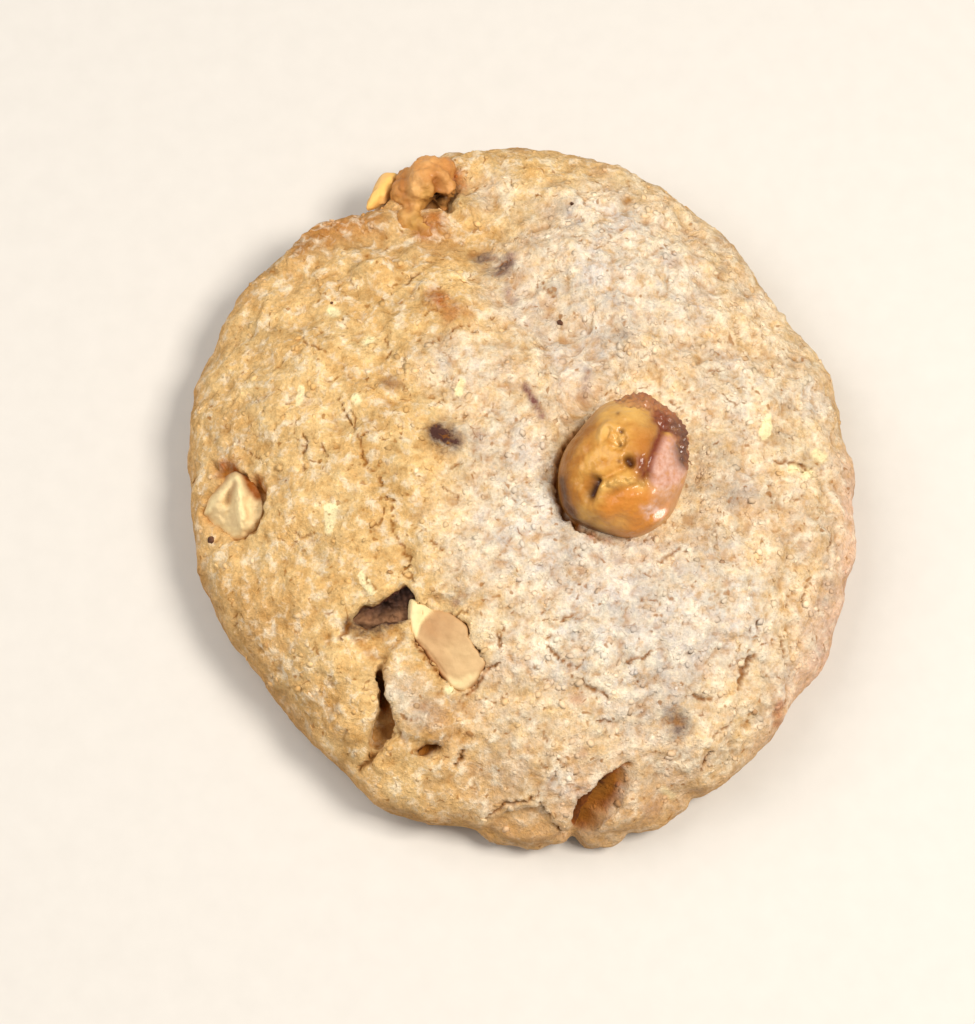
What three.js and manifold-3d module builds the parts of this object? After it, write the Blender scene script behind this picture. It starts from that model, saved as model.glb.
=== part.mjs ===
// A hazelnut and peanut cookie: a hand-pressed round of baked dough with a caramelised hazelnut sunk in
// its crown, broken peanuts set in its slope and rim, and a chocolate chunk showing down a split.
// Millimetres, +Z up. The origin is on the flat underside, under the crown, and +Y points to the far rim.
import * as THREE from 'three';
import { mergeVertices } from 'three/addons/utils/BufferGeometryUtils.js';
import { RoundedBoxGeometry } from 'three/addons/geometries/RoundedBoxGeometry.js';
import { SimplexNoise } from 'three/addons/math/SimplexNoise.js';
import Module from 'manifold-3d';

const wasm = await Module();
wasm.setup();

// Driving dimensions of the dough
const cookie = {
  width: 64.6,
  depth: 66.4, // before the far rim's bulge
  height: 15, // crown above the flat underside
  rimHeight: 4.8, // height of the widest line
  crownReach: 0.58, // share of the radius over which the crown stays flat
  shoulder: 5.4, // how far above the widest line the side stays steep
  tuck: 3, // how far below the widest line the side stays steep
  baseInset: 2.6, // the flat underside stops this far short of the widest line
  flatFoot: 3, // lumps and swells fade out below this height, so that the underside stays flat
};
const ringStep = 1.5; // spacing of the rings of vertices, and of the vertices in a ring
const ringGrowth = 6; // each ring of the crown has this many more vertices than the one inside it
const pocketGap = 0.3; // air between a nut and the dough round it
const pocketDetail = 4; // how finely the pockets are faceted
const cutTop = 22; // cutters reach up to here, clear of the crown

// Places where the rim bulges out or was pressed in: degrees anticlockwise from +X, millimetres
const rimLobes = [
  { at: 40, spread: 9, reach: -1.3 },
  { at: 90, spread: 36, reach: 4 },
  { at: 119, spread: 5, reach: -2.4 },
  { at: 149, spread: 22, reach: 2 },
  { at: 222, spread: 24, reach: -1.7 },
  { at: 249, spread: 8, reach: 0.7 },
  { at: 259, spread: 4, reach: -1 },
  { at: 299, spread: 18, reach: 1.2 },
];

// Broad swells and hollows of the crown, where lumps of dough were pressed together
const crownForms = [
  { x: -17, y: 3, radius: 11, lift: 1.1 },
  { x: 12, y: 19, radius: 11, lift: 0.7 },
  { x: 9.6, y: -0.4, radius: 9, lift: -1.7 },
  { x: 15, y: -17, radius: 12, lift: 0.6 },
  { x: -8, y: -23, radius: 6, lift: -0.9 },
  { x: -20, y: -18, radius: 7, lift: 0.9 },
  { x: -8, y: 27, radius: 5, lift: -0.7 },
  { x: 11, y: -30, radius: 5, lift: -0.6 },
];

// The crease that runs from the far rim down to the hazelnut, between two lumps of dough
const crease = {
  path: [[-7, 27], [-4, 22], [3.4, 16.5], [7.5, 11], [6.5, 5]],
  halfWidth: 3.2,
  depth: 1.1,
};

// Unevenness of the whole skin: lumps of dough, and the crags between them
const lumps = [
  { size: 9, height: 0.45 },
  { size: 3.6, height: 0.3 },
];

// Lumps of dough that stand out at the foot of the near rim
const footLumps = [
  { x: -1.6, y: -31.2, z: 2.5, radii: [2.8, 2.2, 2.6] },
  { x: 1, y: -31.4, z: 2.8, radii: [2.4, 2.4, 2.8] },
  { x: 7.2, y: -31.6, z: 2.3, radii: [2.8, 2, 2.2] },
  { x: 12.4, y: -30.6, z: 3, radii: [3.6, 2.2, 2.6] },
];
const footLumpDetail = 3;
const footLumpSkin = { size: 0.7, height: 0.3 };

// Chips of peanut in the skin that only just stand out of it: plan place, half length, half width, turn
const skinChips = [
  { x: -15, y: -11, half: [1.5, 0.8], turn: -50 },
  { x: -18.9, y: -4.6, half: [1.3, 1], turn: 60 },
  { x: 22.5, y: 4.2, half: [1.2, 0.8], turn: 70 },
];
const chipDetail = 2;
const chipHalfHeight = 0.9;
const chipSunk = 0.5; // the middle of a chip lies this far below the skin

// Splits in the dough. A station is x, y, width at the skin and depth below it. The floor is this share of
// the width on each side, and lean moves it towards the left wall (1) or the right wall (-1) of the run.
const splits = {
  chocolateSlot: { floor: 0.36, lean: 0.2, stations: [[-17, -15.4, 0.5, 0.8], [-15.7, -14.5, 2.4, 2.2],
    [-13.4, -14, 3, 2.6], [-11.6, -13.3, 2.9, 2.8], [-10.5, -12, 0.7, 1.4]] },
  leftLobe: { floor: 0.2, lean: 0, stations: [[-18, 8.2, 0.2, 0.4], [-15.9, 3.4, 0.4, 0.8],
    [-13.7, -0.6, 0.5, 0.9], [-12.5, -4.6, 0.6, 1], [-11, -8.2, 0.6, 1.2], [-10.9, -11.4, 0.9, 2]] },
  underLobe: { floor: 0.2, lean: -0.3, stations: [[-13.9, -18.5, 0.4, 0.8], [-13.6, -19.6, 1, 2],
    [-13.3, -21.4, 0.8, 2.8], [-13.2, -23, 1.2, 3], [-13.3, -24.4, 1.9, 3], [-14.1, -26, 0.8, 1.6],
    [-15.4, -27.4, 0.2, 0.4]] },
  pore: { floor: 0.25, lean: 0.5, stations: [[-11, -25.2, 0.3, 0.5], [-9.6, -26.4, 1, 1.8],
    [-8.5, -26.8, 1.2, 1.8], [-7.6, -26.9, 0.3, 0.4]] },
  nearWedge: { floor: 0.1, lean: -0.8, stations: [[10.4, -27.8, 0.4, 0.6], [8.9, -29.5, 2.2, 2.6],
    [7.6, -31, 2.8, 4], [5.9, -32.3, 2.4, 5.5], [4.4, -33.8, 1.6, 9], [4.1, -37.5, 2.4, 12]] },
  nearLedge: { floor: 0.4, lean: 0, stations: [[-4.6, -33.2, 0.6, 1], [-3, -32.8, 1.7, 2],
    [-0.4, -32.3, 2.4, 2.6], [2.2, -31.9, 2.6, 2.8], [4.6, -32.4, 2.6, 3.4]] },
  rightCrack: { floor: 0.2, lean: 0, stations: [[23.4, 1.7, 0.3, 0.5], [26.3, 1.3, 0.8, 1.2],
    [28, 1.1, 1, 1.3], [30.2, 2.7, 0.4, 0.6]] },
  longCrack: { floor: 0.2, lean: 0, stations: [[1.6, -16.9, 0.3, 0.5], [3.9, -19.1, 0.5, 0.8],
    [7.8, -22.3, 0.3, 0.5]] },
  crownHole: { floor: 0.25, lean: 0, stations: [[-9, 28, 0.6, 1], [-7.6, 29.2, 1.8, 3],
    [-6.2, 30.8, 0.6, 1.2]] },
};
const tornStep = 1.1; // a split's edges turn about this often
const tornSway = 0.32; // and stray this far from a straight run

// The nuts: half sizes along their own axes, how square they are (2 is an ellipsoid), and where they lie.
// Turns are degrees about X, Y and Z. Lumps, pits and ridges are placed by direction from the middle.
// Where a nut shows through the skin, roof is how much taller its pocket is than the nut.
const hazelnut = {
  radii: [6, 6.7, 6.1],
  square: 2.1,
  at: [9.8, -0.5, 14.6],
  turn: [0, 0, -14],
  detail: 6,
  lumps: [{ size: 0.9, height: 0.22 }],
  pits: [
    { toward: [-0.58, -0.48, 0.66], spread: 0.16, depth: 0.7 },
    { toward: [0.02, -0.18, 0.98], spread: 0.1, depth: 0.5 },
    { toward: [-0.2, 0.1, 0.97], spread: 0.24, depth: 0.25 },
    { toward: [-0.5, -0.82, -0.1], spread: 0.28, depth: 0.6 },
  ],
  ridges: [{ // a crust of boiled caramel over the far side
    arc: [[-0.05, 0.92, 0.4], [0.5, 0.75, 0.43], [0.85, 0.35, 0.4], [0.92, 0, 0.38]],
    spread: 0.3,
    height: 0.55,
    lumps: { size: 0.22, height: 0.3 },
  }],
  roof: 1,
  finish: { color: 0xd9973f, roughness: 0.32, metalness: 0 },
};
const peanutRim = {
  radii: [3.3, 3.4, 2.2],
  square: 2.3,
  at: [-27.9, -2.4, 9.5],
  turn: [6, -38, 8],
  detail: 4,
  lumps: [{ size: 0.8, height: 0.35 }],
  pits: [],
  ridges: [{ // the groove between its two lobes
    arc: [[0.05, 0.85, 0.5], [0, 0.45, 0.89], [-0.12, 0.05, 0.99]],
    spread: 0.2,
    height: -0.9,
    lumps: { size: 0.5, height: 0 },
  }],
  roof: 1.7,
  finish: { color: 0xecd199, roughness: 0.55, metalness: 0 },
};
const peanutFlat = {
  radii: [2.3, 5.1, 2.4],
  square: 3,
  at: [-7, -17.4, 12.7],
  turn: [8, -4, 28],
  detail: 4,
  lumps: [{ size: 0.9, height: 0.25 }],
  pits: [],
  ridges: [],
  splitFace: 0.6, // height of its split face over its middle
  roof: 2,
  finish: { color: 0xdcb582, roughness: 0.5, metalness: 0 },
};
const peanutEdge = {
  radii: [1.2, 2.7, 1.6],
  square: 2.2,
  at: [-14.6, 31.3, 7.5],
  turn: [-20, 0, -38],
  detail: 3,
  lumps: [{ size: 0.7, height: 0.2 }],
  pits: [],
  ridges: [],
  roof: 1.8,
  finish: { color: 0xefc06c, roughness: 0.55, metalness: 0 },
};
const caramelNut = {
  radii: [2.7, 3.1, 2.8],
  square: 2.2,
  at: [-9.1, 32.3, 7.9],
  turn: [-20, 0, 0],
  detail: 5,
  lumps: [{ size: 0.6, height: 0.35 }, { size: 0.3, height: 0.14 }],
  pits: [{ toward: [0.62, -0.5, 0.6], spread: 0.3, depth: 0.9 }],
  ridges: [],
  roof: 1.3,
  finish: { color: 0xd08d4c, roughness: 0.5, metalness: 0 },
};
const chocolateChunk = {
  size: [5.6, 3.4, 2.4],
  corner: 0.5,
  cornerSteps: 1,
  at: [-13.9, -14.3, 11.1],
  turn: [10, 3, 24],
  finish: { color: 0x4a2c22, roughness: 0.6, metalness: 0 },
};

const degrees = THREE.MathUtils.degToRad;
const unit = (toward) => new THREE.Vector3(...toward).normalize();
const arcSteps = 16;

// A repeatable stream of numbers between 0 and 1, so that the same lumps come out each time
const stream = { factor: 1664525, step: 1013904223, span: 2 ** 32 };
function seededStream(seed) {
  let state = seed;
  const random = () => {
    state = (Math.imul(state, stream.factor) + stream.step) >>> 0;
    return state / stream.span;
  };
  return { random };
}
const grain = new SimplexNoise(seededStream(4107));
const tear = seededStream(29);

// Half width of the cookie in one direction: an ellipse with the rim's bulges and dents
function rimRadius(angle) {
  const across = Math.cos(angle) / (cookie.width / 2);
  const along = Math.sin(angle) / (cookie.depth / 2);
  let radius = 1 / Math.hypot(across, along);
  for (const lobe of rimLobes) {
    const turn = angle - degrees(lobe.at);
    const apart = Math.atan2(Math.sin(turn), Math.cos(turn));
    radius += lobe.reach * Math.exp(-((apart / degrees(lobe.spread)) ** 2));
  }
  return radius;
}

// Half of the cross section, from the crown's middle out to the widest line and under to the base's edge
const half = (cookie.width + cookie.depth) / 4;
const crownLine = new THREE.CubicBezierCurve(
  new THREE.Vector2(0, cookie.height),
  new THREE.Vector2(half * cookie.crownReach, cookie.height),
  new THREE.Vector2(half, cookie.rimHeight + cookie.shoulder),
  new THREE.Vector2(half, cookie.rimHeight),
);
const footLine = new THREE.CubicBezierCurve(
  new THREE.Vector2(half, cookie.rimHeight),
  new THREE.Vector2(half, cookie.rimHeight - cookie.tuck),
  new THREE.Vector2(half - cookie.baseInset / 2, 0),
  new THREE.Vector2(half - cookie.baseInset, 0),
);
const crownRings = Math.round(crownLine.getLength() / ringStep);
const footRings = Math.round(footLine.getLength() / ringStep);

function distanceToPath(x, y, path) {
  let nearest = Infinity;
  for (let i = 1; i < path.length; i += 1) {
    const [ax, ay] = path[i - 1];
    const [bx, by] = path[i];
    const share = ((x - ax) * (bx - ax) + (y - ay) * (by - ay)) / ((bx - ax) ** 2 + (by - ay) ** 2);
    const t = THREE.MathUtils.clamp(share, 0, 1);
    nearest = Math.min(nearest, Math.hypot(x - ax - t * (bx - ax), y - ay - t * (by - ay)));
  }
  return nearest;
}

// How far the crown's broad forms lift the skin at a place in plan
function crownLift(x, y) {
  let lift = -crease.depth * Math.exp(-((distanceToPath(x, y, crease.path) / crease.halfWidth) ** 2));
  for (const form of crownForms) {
    lift += form.lift * Math.exp(-((x - form.x) ** 2 + (y - form.y) ** 2) / form.radius ** 2);
  }
  return lift;
}

// Height of the skin at a place in plan, without the lumps
const crownSteps = 120;
const crownSamples = crownLine.getPoints(crownSteps);
function skinHeight(x, y) {
  const out = Math.min(1, Math.hypot(x, y) / rimRadius(Math.atan2(y, x))) * half;
  const i = Math.max(1, crownSamples.findIndex((p) => p.x >= out));
  const [a, b] = [crownSamples[i - 1], crownSamples[i]];
  return THREE.MathUtils.mapLinear(out, a.x, b.x, a.y, b.y) + crownLift(x, y);
}

// One vertex of the skin: a point of the cross section turned to an angle, then lifted by forms and lumps
function skinPoint(point, tangent, angle) {
  const stretch = rimRadius(angle) / half;
  const out = point.x * stretch;
  const place = new THREE.Vector3(out * Math.cos(angle), out * Math.sin(angle), point.y);
  const facing = new THREE.Vector3(-tangent.y * Math.cos(angle), -tangent.y * Math.sin(angle), tangent.x);
  const free = THREE.MathUtils.smoothstep(point.y, 0, cookie.flatFoot);
  let lump = 0;
  for (const { size, height } of lumps) {
    lump += height * grain.noise3d(place.x / size, place.y / size, place.z / size);
  }
  const lift = crownLift(place.x, place.y) * Math.max(0, facing.z);
  return place.addScaledVector(facing, lump * free).add(new THREE.Vector3(0, 0, lift * free));
}

// Triangles between two rings of vertices that may differ in number, walked round by angle
function zipRings(inner, outer, triangles) {
  let i = 0;
  let j = 0;
  while (i < inner.length || j < outer.length) {
    const a = inner[i % inner.length];
    const b = outer[j % outer.length];
    const innerNext = (i + 1) / inner.length;
    const outerNext = (j + 1) / outer.length;
    if (j < outer.length && (outerNext <= innerNext || i >= inner.length || inner.length === 1)) {
      triangles.push(a, b, outer[(j + 1) % outer.length]);
      j += 1;
    } else {
      triangles.push(a, b, inner[(i + 1) % inner.length]);
      i += 1;
    }
    if (inner.length === 1 && j >= outer.length) break;
  }
}

function indexedGeometry(points, triangles) {
  const geometry = new THREE.BufferGeometry().setFromPoints(points);
  geometry.setIndex(triangles);
  return geometry;
}

// The dough before anything is cut: rings of even triangles down to the base's edge, and a flat base
function doughBlank() {
  const points = [];
  const rings = [];
  const addRing = (line, share, count) => {
    const point = line.getPointAt(share);
    const tangent = line.getTangentAt(share);
    rings.push(Array.from({ length: count }, (_, i) => {
      points.push(skinPoint(point, tangent, (i / count) * 2 * Math.PI));
      return points.length - 1;
    }));
  };
  addRing(crownLine, 0, 1);
  const widest = ringGrowth * crownRings;
  for (let ring = 1; ring <= crownRings; ring += 1) addRing(crownLine, ring / crownRings, ringGrowth * ring);
  for (let ring = 1; ring <= footRings; ring += 1) addRing(footLine, ring / footRings, widest);
  const triangles = [];
  for (let ring = 1; ring < rings.length; ring += 1) zipRings(rings[ring - 1], rings[ring], triangles);
  const baseMiddle = points.push(new THREE.Vector3(0, 0, 0)) - 1;
  const baseEdge = rings.at(-1);
  baseEdge.forEach((vertex, i) => triangles.push(baseMiddle, baseEdge[(i + 1) % baseEdge.length], vertex));
  return indexedGeometry(points, triangles);
}

function bare(geometry) {
  geometry.deleteAttribute('normal');
  geometry.deleteAttribute('uv');
  return geometry;
}

// The stations of a split with more put between them, each straying a little, so that its edges look torn
function tornStations(stations) {
  const torn = [stations[0]];
  for (let s = 1; s < stations.length; s += 1) {
    const [from, to] = [stations[s - 1], stations[s]];
    const length = Math.hypot(to[0] - from[0], to[1] - from[1]);
    const steps = Math.max(1, Math.round(length / tornStep));
    for (let k = 1; k < steps; k += 1) {
      const [x, y, width, depth] = from.map((value, i) => THREE.MathUtils.lerp(value, to[i], k / steps));
      const sway = (tear.random() - 0.5) * 2 * Math.min(tornSway, width / 2);
      const sideways = new THREE.Vector2(-(to[1] - from[1]), to[0] - from[0]).normalize();
      torn.push([x + sideways.x * sway, y + sideways.y * sway, width, depth]);
    }
    torn.push(to);
  }
  return torn;
}

// A cutter for a split: upright down to the skin, then narrowing to a floor that may lean to one wall
function splitCutter({ floor, lean, stations }) {
  const torn = tornStations(stations);
  const section = 6;
  const points = [];
  torn.forEach(([x, y, width, depth], i) => {
    const [ax, ay] = torn[Math.max(0, i - 1)];
    const [bx, by] = torn[Math.min(torn.length - 1, i + 1)];
    const sideways = new THREE.Vector2(-(by - ay), bx - ax).normalize();
    const skin = skinHeight(x, y);
    const wall = width / 2;
    const middle = lean * (wall - width * floor);
    const corner = (offset, z) => {
      points.push(new THREE.Vector3(x + sideways.x * offset, y + sideways.y * offset, z));
    };
    corner(wall, cutTop);
    corner(wall, skin);
    corner(middle + width * floor, skin - depth);
    corner(middle - width * floor, skin - depth);
    corner(-wall, skin);
    corner(-wall, cutTop);
  });
  const triangles = [];
  for (let s = 1; s < torn.length; s += 1) {
    for (let k = 0; k < section; k += 1) {
      const a = (s - 1) * section + k;
      const b = (s - 1) * section + (k + 1) % section;
      triangles.push(a, a + section, b, b, a + section, b + section);
    }
  }
  const last = (torn.length - 1) * section;
  for (let k = 1; k < section - 1; k += 1) {
    triangles.push(0, k, k + 1);
    triangles.push(last, last + k + 1, last + k);
  }
  return indexedGeometry(points, triangles);
}

const bell = (x, spread) => Math.exp(-((x / spread) ** 2));
const roughness = (toward, { size, height }, drift) => height * grain.noise3d(
  toward.x / size + drift, toward.y / size, toward.z / size);

function angleToArc(toward, arc) {
  const line = new THREE.CatmullRomCurve3(arc.map(unit)).getPoints(arcSteps);
  return Math.min(...line.map((point) => toward.angleTo(point)));
}

// How far a nut's surface stands out in one direction, from its lumps, pits and ridges
function nutRelief(nut, toward) {
  const drift = nut.at[0];
  let lift = 0;
  for (const lump of nut.lumps) lift += roughness(toward, lump, drift);
  for (const pit of nut.pits) lift -= pit.depth * bell(toward.angleTo(unit(pit.toward)), pit.spread);
  for (const ridge of nut.ridges) {
    const share = bell(angleToArc(toward, ridge.arc), ridge.spread);
    lift += share * (ridge.height + roughness(toward, ridge.lumps, drift));
  }
  return lift;
}

// A pebble: a ball made squarer and stretched to its half sizes, then lifted by its relief
function pebble({ radii, square = 2, detail }, relief, { grow = 0, roof = 1, splitFace = Infinity } = {}) {
  const ball = mergeVertices(bare(new THREE.IcosahedronGeometry(1, detail)));
  const places = ball.attributes.position;
  const stretch = new THREE.Vector3(...radii);
  const toward = new THREE.Vector3();
  for (let i = 0; i < places.count; i += 1) {
    toward.fromBufferAttribute(places, i).normalize();
    const bulk = toward.toArray().reduce((sum, side) => sum + Math.abs(side) ** square, 0) ** (1 / square);
    const place = toward.clone().divideScalar(bulk).multiply(stretch);
    place.addScaledVector(toward, relief(toward) + grow);
    const z = place.z > 0 ? place.z * roof : place.z;
    places.setXYZ(i, place.x, place.y, Math.min(z, splitFace));
  }
  return ball;
}

function placed(name, geometry, part) {
  const mesh = new THREE.Mesh(geometry, new THREE.MeshStandardMaterial(part.finish));
  mesh.name = name;
  mesh.position.set(...part.at);
  mesh.rotation.set(...part.turn.map(degrees));
  mesh.updateMatrix();
  return mesh;
}

function solidFrom(geometry) {
  const merged = mergeVertices(geometry);
  return new wasm.Manifold(new wasm.Mesh({
    numProp: 3,
    vertProperties: merged.attributes.position.array,
    triVerts: new Uint32Array(merged.index.array),
  }));
}

function geometryFrom(solid) {
  const { vertProperties, triVerts } = solid.getMesh();
  const geometry = new THREE.BufferGeometry();
  geometry.setAttribute('position', new THREE.BufferAttribute(vertProperties, 3));
  geometry.setIndex(new THREE.BufferAttribute(triVerts, 1));
  geometry.computeVertexNormals();
  return geometry;
}

// A nut as a named mesh in its place, with the coarser and wider shape that its pocket is cut by
function nutPart(name, nut) {
  const relief = (toward) => nutRelief(nut, toward);
  const mesh = placed(name, pebble(nut, relief, { splitFace: nut.splitFace }), nut);
  const pocket = pebble({ ...nut, detail: pocketDetail }, relief, { grow: pocketGap, roof: nut.roof });
  return { mesh, pocket };
}

// The chunk of chocolate as a named mesh in its place, with its pocket
function chunkPart(name, chunk) {
  const block = (grow) => {
    const sides = chunk.size.map((side) => side + 2 * grow);
    return bare(new RoundedBoxGeometry(...sides, chunk.cornerSteps, chunk.corner + grow));
  };
  return { mesh: placed(name, block(0), chunk), pocket: block(pocketGap) };
}

// The dough: foot lumps and skin chips fused on, splits cut in, and a pocket left for every inclusion
function doughSolid(inclusions) {
  let solid = solidFrom(doughBlank());
  for (const { x, y, z, radii } of footLumps) {
    const skin = (toward) => roughness(toward, footLumpSkin, x);
    const lump = pebble({ radii, detail: footLumpDetail }, skin).translate(x, y, z);
    solid = solid.add(solidFrom(lump));
  }
  for (const { x, y, half: [long, wide], turn } of skinChips) {
    const chip = pebble({ radii: [long, wide, chipHalfHeight], detail: chipDetail }, () => 0);
    chip.rotateZ(degrees(turn)).translate(x, y, skinHeight(x, y) - chipSunk);
    solid = solid.add(solidFrom(chip));
  }
  const under = new THREE.BoxGeometry(2 * cookie.width, 2 * cookie.depth, cutTop);
  under.translate(0, 0, -cutTop / 2);
  solid = solid.subtract(solidFrom(bare(under)));
  for (const split of Object.values(splits)) solid = solid.subtract(solidFrom(splitCutter(split)));
  for (const { mesh, pocket } of inclusions) {
    solid = solid.subtract(solidFrom(pocket.applyMatrix4(mesh.matrix)));
  }
  const [body] = solid.decompose().sort((a, b) => b.volume() - a.volume());
  return body;
}

const inclusions = [
  nutPart('hazelnut', hazelnut),
  nutPart('peanut_rim', peanutRim),
  nutPart('peanut_flat', peanutFlat),
  nutPart('peanut_edge', peanutEdge),
  nutPart('caramel_nut', caramelNut),
  chunkPart('chocolate_chunk', chocolateChunk),
];
const dough = new THREE.Mesh(
  geometryFrom(doughSolid(inclusions)),
  new THREE.MeshStandardMaterial({ color: 0xd8b47e, roughness: 0.9, metalness: 0 }),
);
dough.name = 'dough';

const cookieGroup = new THREE.Group();
cookieGroup.add(dough, ...inclusions.map((part) => part.mesh));
export default cookieGroup;
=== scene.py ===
import math

import bmesh
import bpy
import numpy as np
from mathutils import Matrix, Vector, noise
from mathutils.bvhtree import BVHTree


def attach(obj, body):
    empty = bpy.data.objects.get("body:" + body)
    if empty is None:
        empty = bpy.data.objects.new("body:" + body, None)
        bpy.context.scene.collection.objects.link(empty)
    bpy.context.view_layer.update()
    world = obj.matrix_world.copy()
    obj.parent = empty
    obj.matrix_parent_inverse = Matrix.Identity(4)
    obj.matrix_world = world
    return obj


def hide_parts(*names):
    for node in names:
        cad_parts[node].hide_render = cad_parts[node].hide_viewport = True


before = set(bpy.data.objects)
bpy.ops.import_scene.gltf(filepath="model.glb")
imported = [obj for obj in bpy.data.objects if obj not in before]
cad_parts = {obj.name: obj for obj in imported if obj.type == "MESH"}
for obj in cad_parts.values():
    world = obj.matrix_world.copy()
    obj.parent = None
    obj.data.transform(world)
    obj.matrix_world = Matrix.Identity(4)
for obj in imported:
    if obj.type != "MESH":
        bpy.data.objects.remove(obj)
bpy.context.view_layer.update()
mm = 0.001  # one millimetre in scene units; sizes below are in millimetres
scene = bpy.context.scene

photo = {
    "size": (975, 1024),  # frame of the photograph, in pixels
    "elevation": 70.0,  # degrees above the table
    "distance": 300.0,
    "aim": (-3.52, -1.45, 6.47),
    "lens": 109.3,
    "sensor": 36.0,
    "pixel": 0.0965,  # millimetres across one pixel at the cookie
}
focal = photo["lens"] / photo["sensor"] * max(photo["size"])  # from lens to picture, in pixels
up = np.array((0.0, 0.0, 1.0))


# Helpers

# short names of the nodes that are used often, with their settings
nodeKinds = {
    "noise": ("ShaderNodeTexNoise", {}),
    "cells": ("ShaderNodeTexVoronoi", {}),
    "cellEdges": ("ShaderNodeTexVoronoi", {"feature": "DISTANCE_TO_EDGE"}),
    "range": ("ShaderNodeMapRange", {}),
    "softRange": ("ShaderNodeMapRange", {"interpolation_type": "SMOOTHSTEP"}),
    "mix": ("ShaderNodeMix", {"data_type": "RGBA"}),
    "tone": ("ShaderNodeMix", {"data_type": "RGBA", "blend_type": "MULTIPLY"}),
}
for step in ("add", "subtract", "multiply", "maximum", "power"):
    nodeKinds[step] = ("ShaderNodeMath", {"operation": step.upper()})
for step in ("add", "subtract", "multiply", "scale"):
    nodeKinds[step + "Vectors"] = ("ShaderNodeVectorMath", {"operation": step.upper()})


def hexColor(code):
    parts = [int(code[i:i + 2], 16) / 255 for i in (1, 3, 5)]
    linear = [c / 12.92 if c <= 0.04045 else ((c + 0.055) / 1.055) ** 2.4 for c in parts]
    return (*linear, 1.0)


def addNode(tree, kind, inputs={}, out=0, **settings):
    kindName, usual = nodeKinds.get(kind, (kind, {}))
    node = tree.nodes.new(kindName)
    for name, value in {**usual, **settings}.items():
        setattr(node, name, value)
    for key, value in inputs.items():
        if isinstance(value, bpy.types.NodeSocket):
            tree.links.new(value, node.inputs[key])
        else:
            node.inputs[key].default_value = value
    return node.outputs[out] if node.outputs else node


def newMaterial(name):
    material = bpy.data.materials.new(name)
    material.use_nodes = True
    tree = material.node_tree
    return material, tree, tree.nodes["Principled BSDF"]


def newTree(name, sizes):
    tree = bpy.data.node_groups.new(name, "GeometryNodeTree")
    tree.interface.new_socket("Geometry", in_out="OUTPUT", socket_type="NodeSocketGeometry")
    tree.interface.new_socket("Geometry", in_out="INPUT", socket_type="NodeSocketGeometry")
    for label, value in sizes.items():
        kind = "NodeSocketInt" if isinstance(value, int) else "NodeSocketFloat"
        tree.interface.new_socket(label, in_out="INPUT", socket_type=kind)
    tree.interface.new_socket("Material", in_out="INPUT", socket_type="NodeSocketMaterial")
    return tree, tree.nodes.new("NodeGroupInput").outputs


def showGeometry(tree, geometry, material):
    soft = addNode(tree, "GeometryNodeSetShadeSmooth", {"Geometry": geometry})
    real = addNode(tree, "GeometryNodeRealizeInstances", {"Geometry": soft})
    shown = addNode(tree, "GeometryNodeSetMaterial", {"Geometry": real, "Material": material})
    addNode(tree, "NodeGroupOutput", {"Geometry": shown})


def settle(piece):
    graph = bpy.context.evaluated_depsgraph_get()
    result = bpy.data.meshes.new_from_object(piece.evaluated_get(graph))
    piece.modifiers.clear()
    piece.data = result
    result.name = piece.name


def runTree(piece, tree, sizes, material):
    modifier = piece.modifiers.new(tree.name, "NODES")
    modifier.node_group = tree
    for item in tree.interface.items_tree:
        if item.in_out == "INPUT" and item.name in sizes:
            modifier[item.identifier] = sizes[item.name]
        if item.name == "Material":
            modifier[item.identifier] = material
    settle(piece)


def meshPiece(name, points, faces, material=None):
    mesh = bpy.data.meshes.new(name)
    mesh.from_pydata([tuple(p) for p in points], [], [tuple(f) for f in faces])
    if material:
        mesh.materials.append(material)
    piece = bpy.data.objects.new(name, mesh)
    scene.collection.objects.link(piece)
    return piece


def nodeCopy(name, node):
    shape = bmesh.new()
    shape.from_mesh(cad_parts[node].data)
    bmesh.ops.remove_doubles(shape, verts=shape.verts, dist=0.001 * mm)
    shape.verts.index_update()
    points = [v.co.copy() for v in shape.verts]
    faces = [[v.index for v in f.verts] for f in shape.faces]
    shape.free()
    return meshPiece(name, points, faces)


def pointsOf(mesh):
    flat = np.empty(len(mesh.vertices) * 3)
    mesh.vertices.foreach_get("co", flat)
    return flat.reshape(-1, 3) / mm


def normalsOf(mesh):
    flat = np.empty(len(mesh.vertices) * 3)
    mesh.vertex_normals.foreach_get("vector", flat)
    return flat.reshape(-1, 3)


def movePoints(mesh, points):
    mesh.vertices.foreach_set("co", (points * mm).ravel())
    mesh.update()


def storeMask(mesh, name, values):
    layer = mesh.attributes.get(name) or mesh.attributes.new(name, "FLOAT", "POINT")
    layer.data.foreach_set("value", np.asarray(values, dtype=np.float32))


def ramp(low, high, values):
    t = np.clip((values - low) / (high - low), 0, 1)
    return t * t * (3 - 2 * t)


def skinOf(piece):
    mesh = piece.data
    return BVHTree.FromPolygons([v.co for v in mesh.vertices], [p.vertices for p in mesh.polygons])


def rayThrough(pixel):  # in the camera's own axes
    width, height = photo["size"]
    return Vector(((pixel[0] - width / 2) / focal, (height / 2 - pixel[1]) / focal, -1))


def photoSpot(skin, pixel):
    ray = camera.matrix_world.to_3x3() @ rayThrough(pixel).normalized()
    place = skin.ray_cast(camera.location, ray)[0]
    if place is None:  # just past the rim: the nearest skin to the line of sight
        place = skin.find_nearest(camera.location + ray * photo["distance"] * mm)[0]
    return np.array(place) / mm


def spotsOn(skin, pixels):
    return np.array([photoSpot(skin, p) for p in pixels])


def levelSpot(pixel, level):
    ray = camera.matrix_world.to_3x3() @ rayThrough(pixel)
    start = camera.location / mm
    return np.array(start + ray * ((level - start.z) / ray.z))


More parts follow.
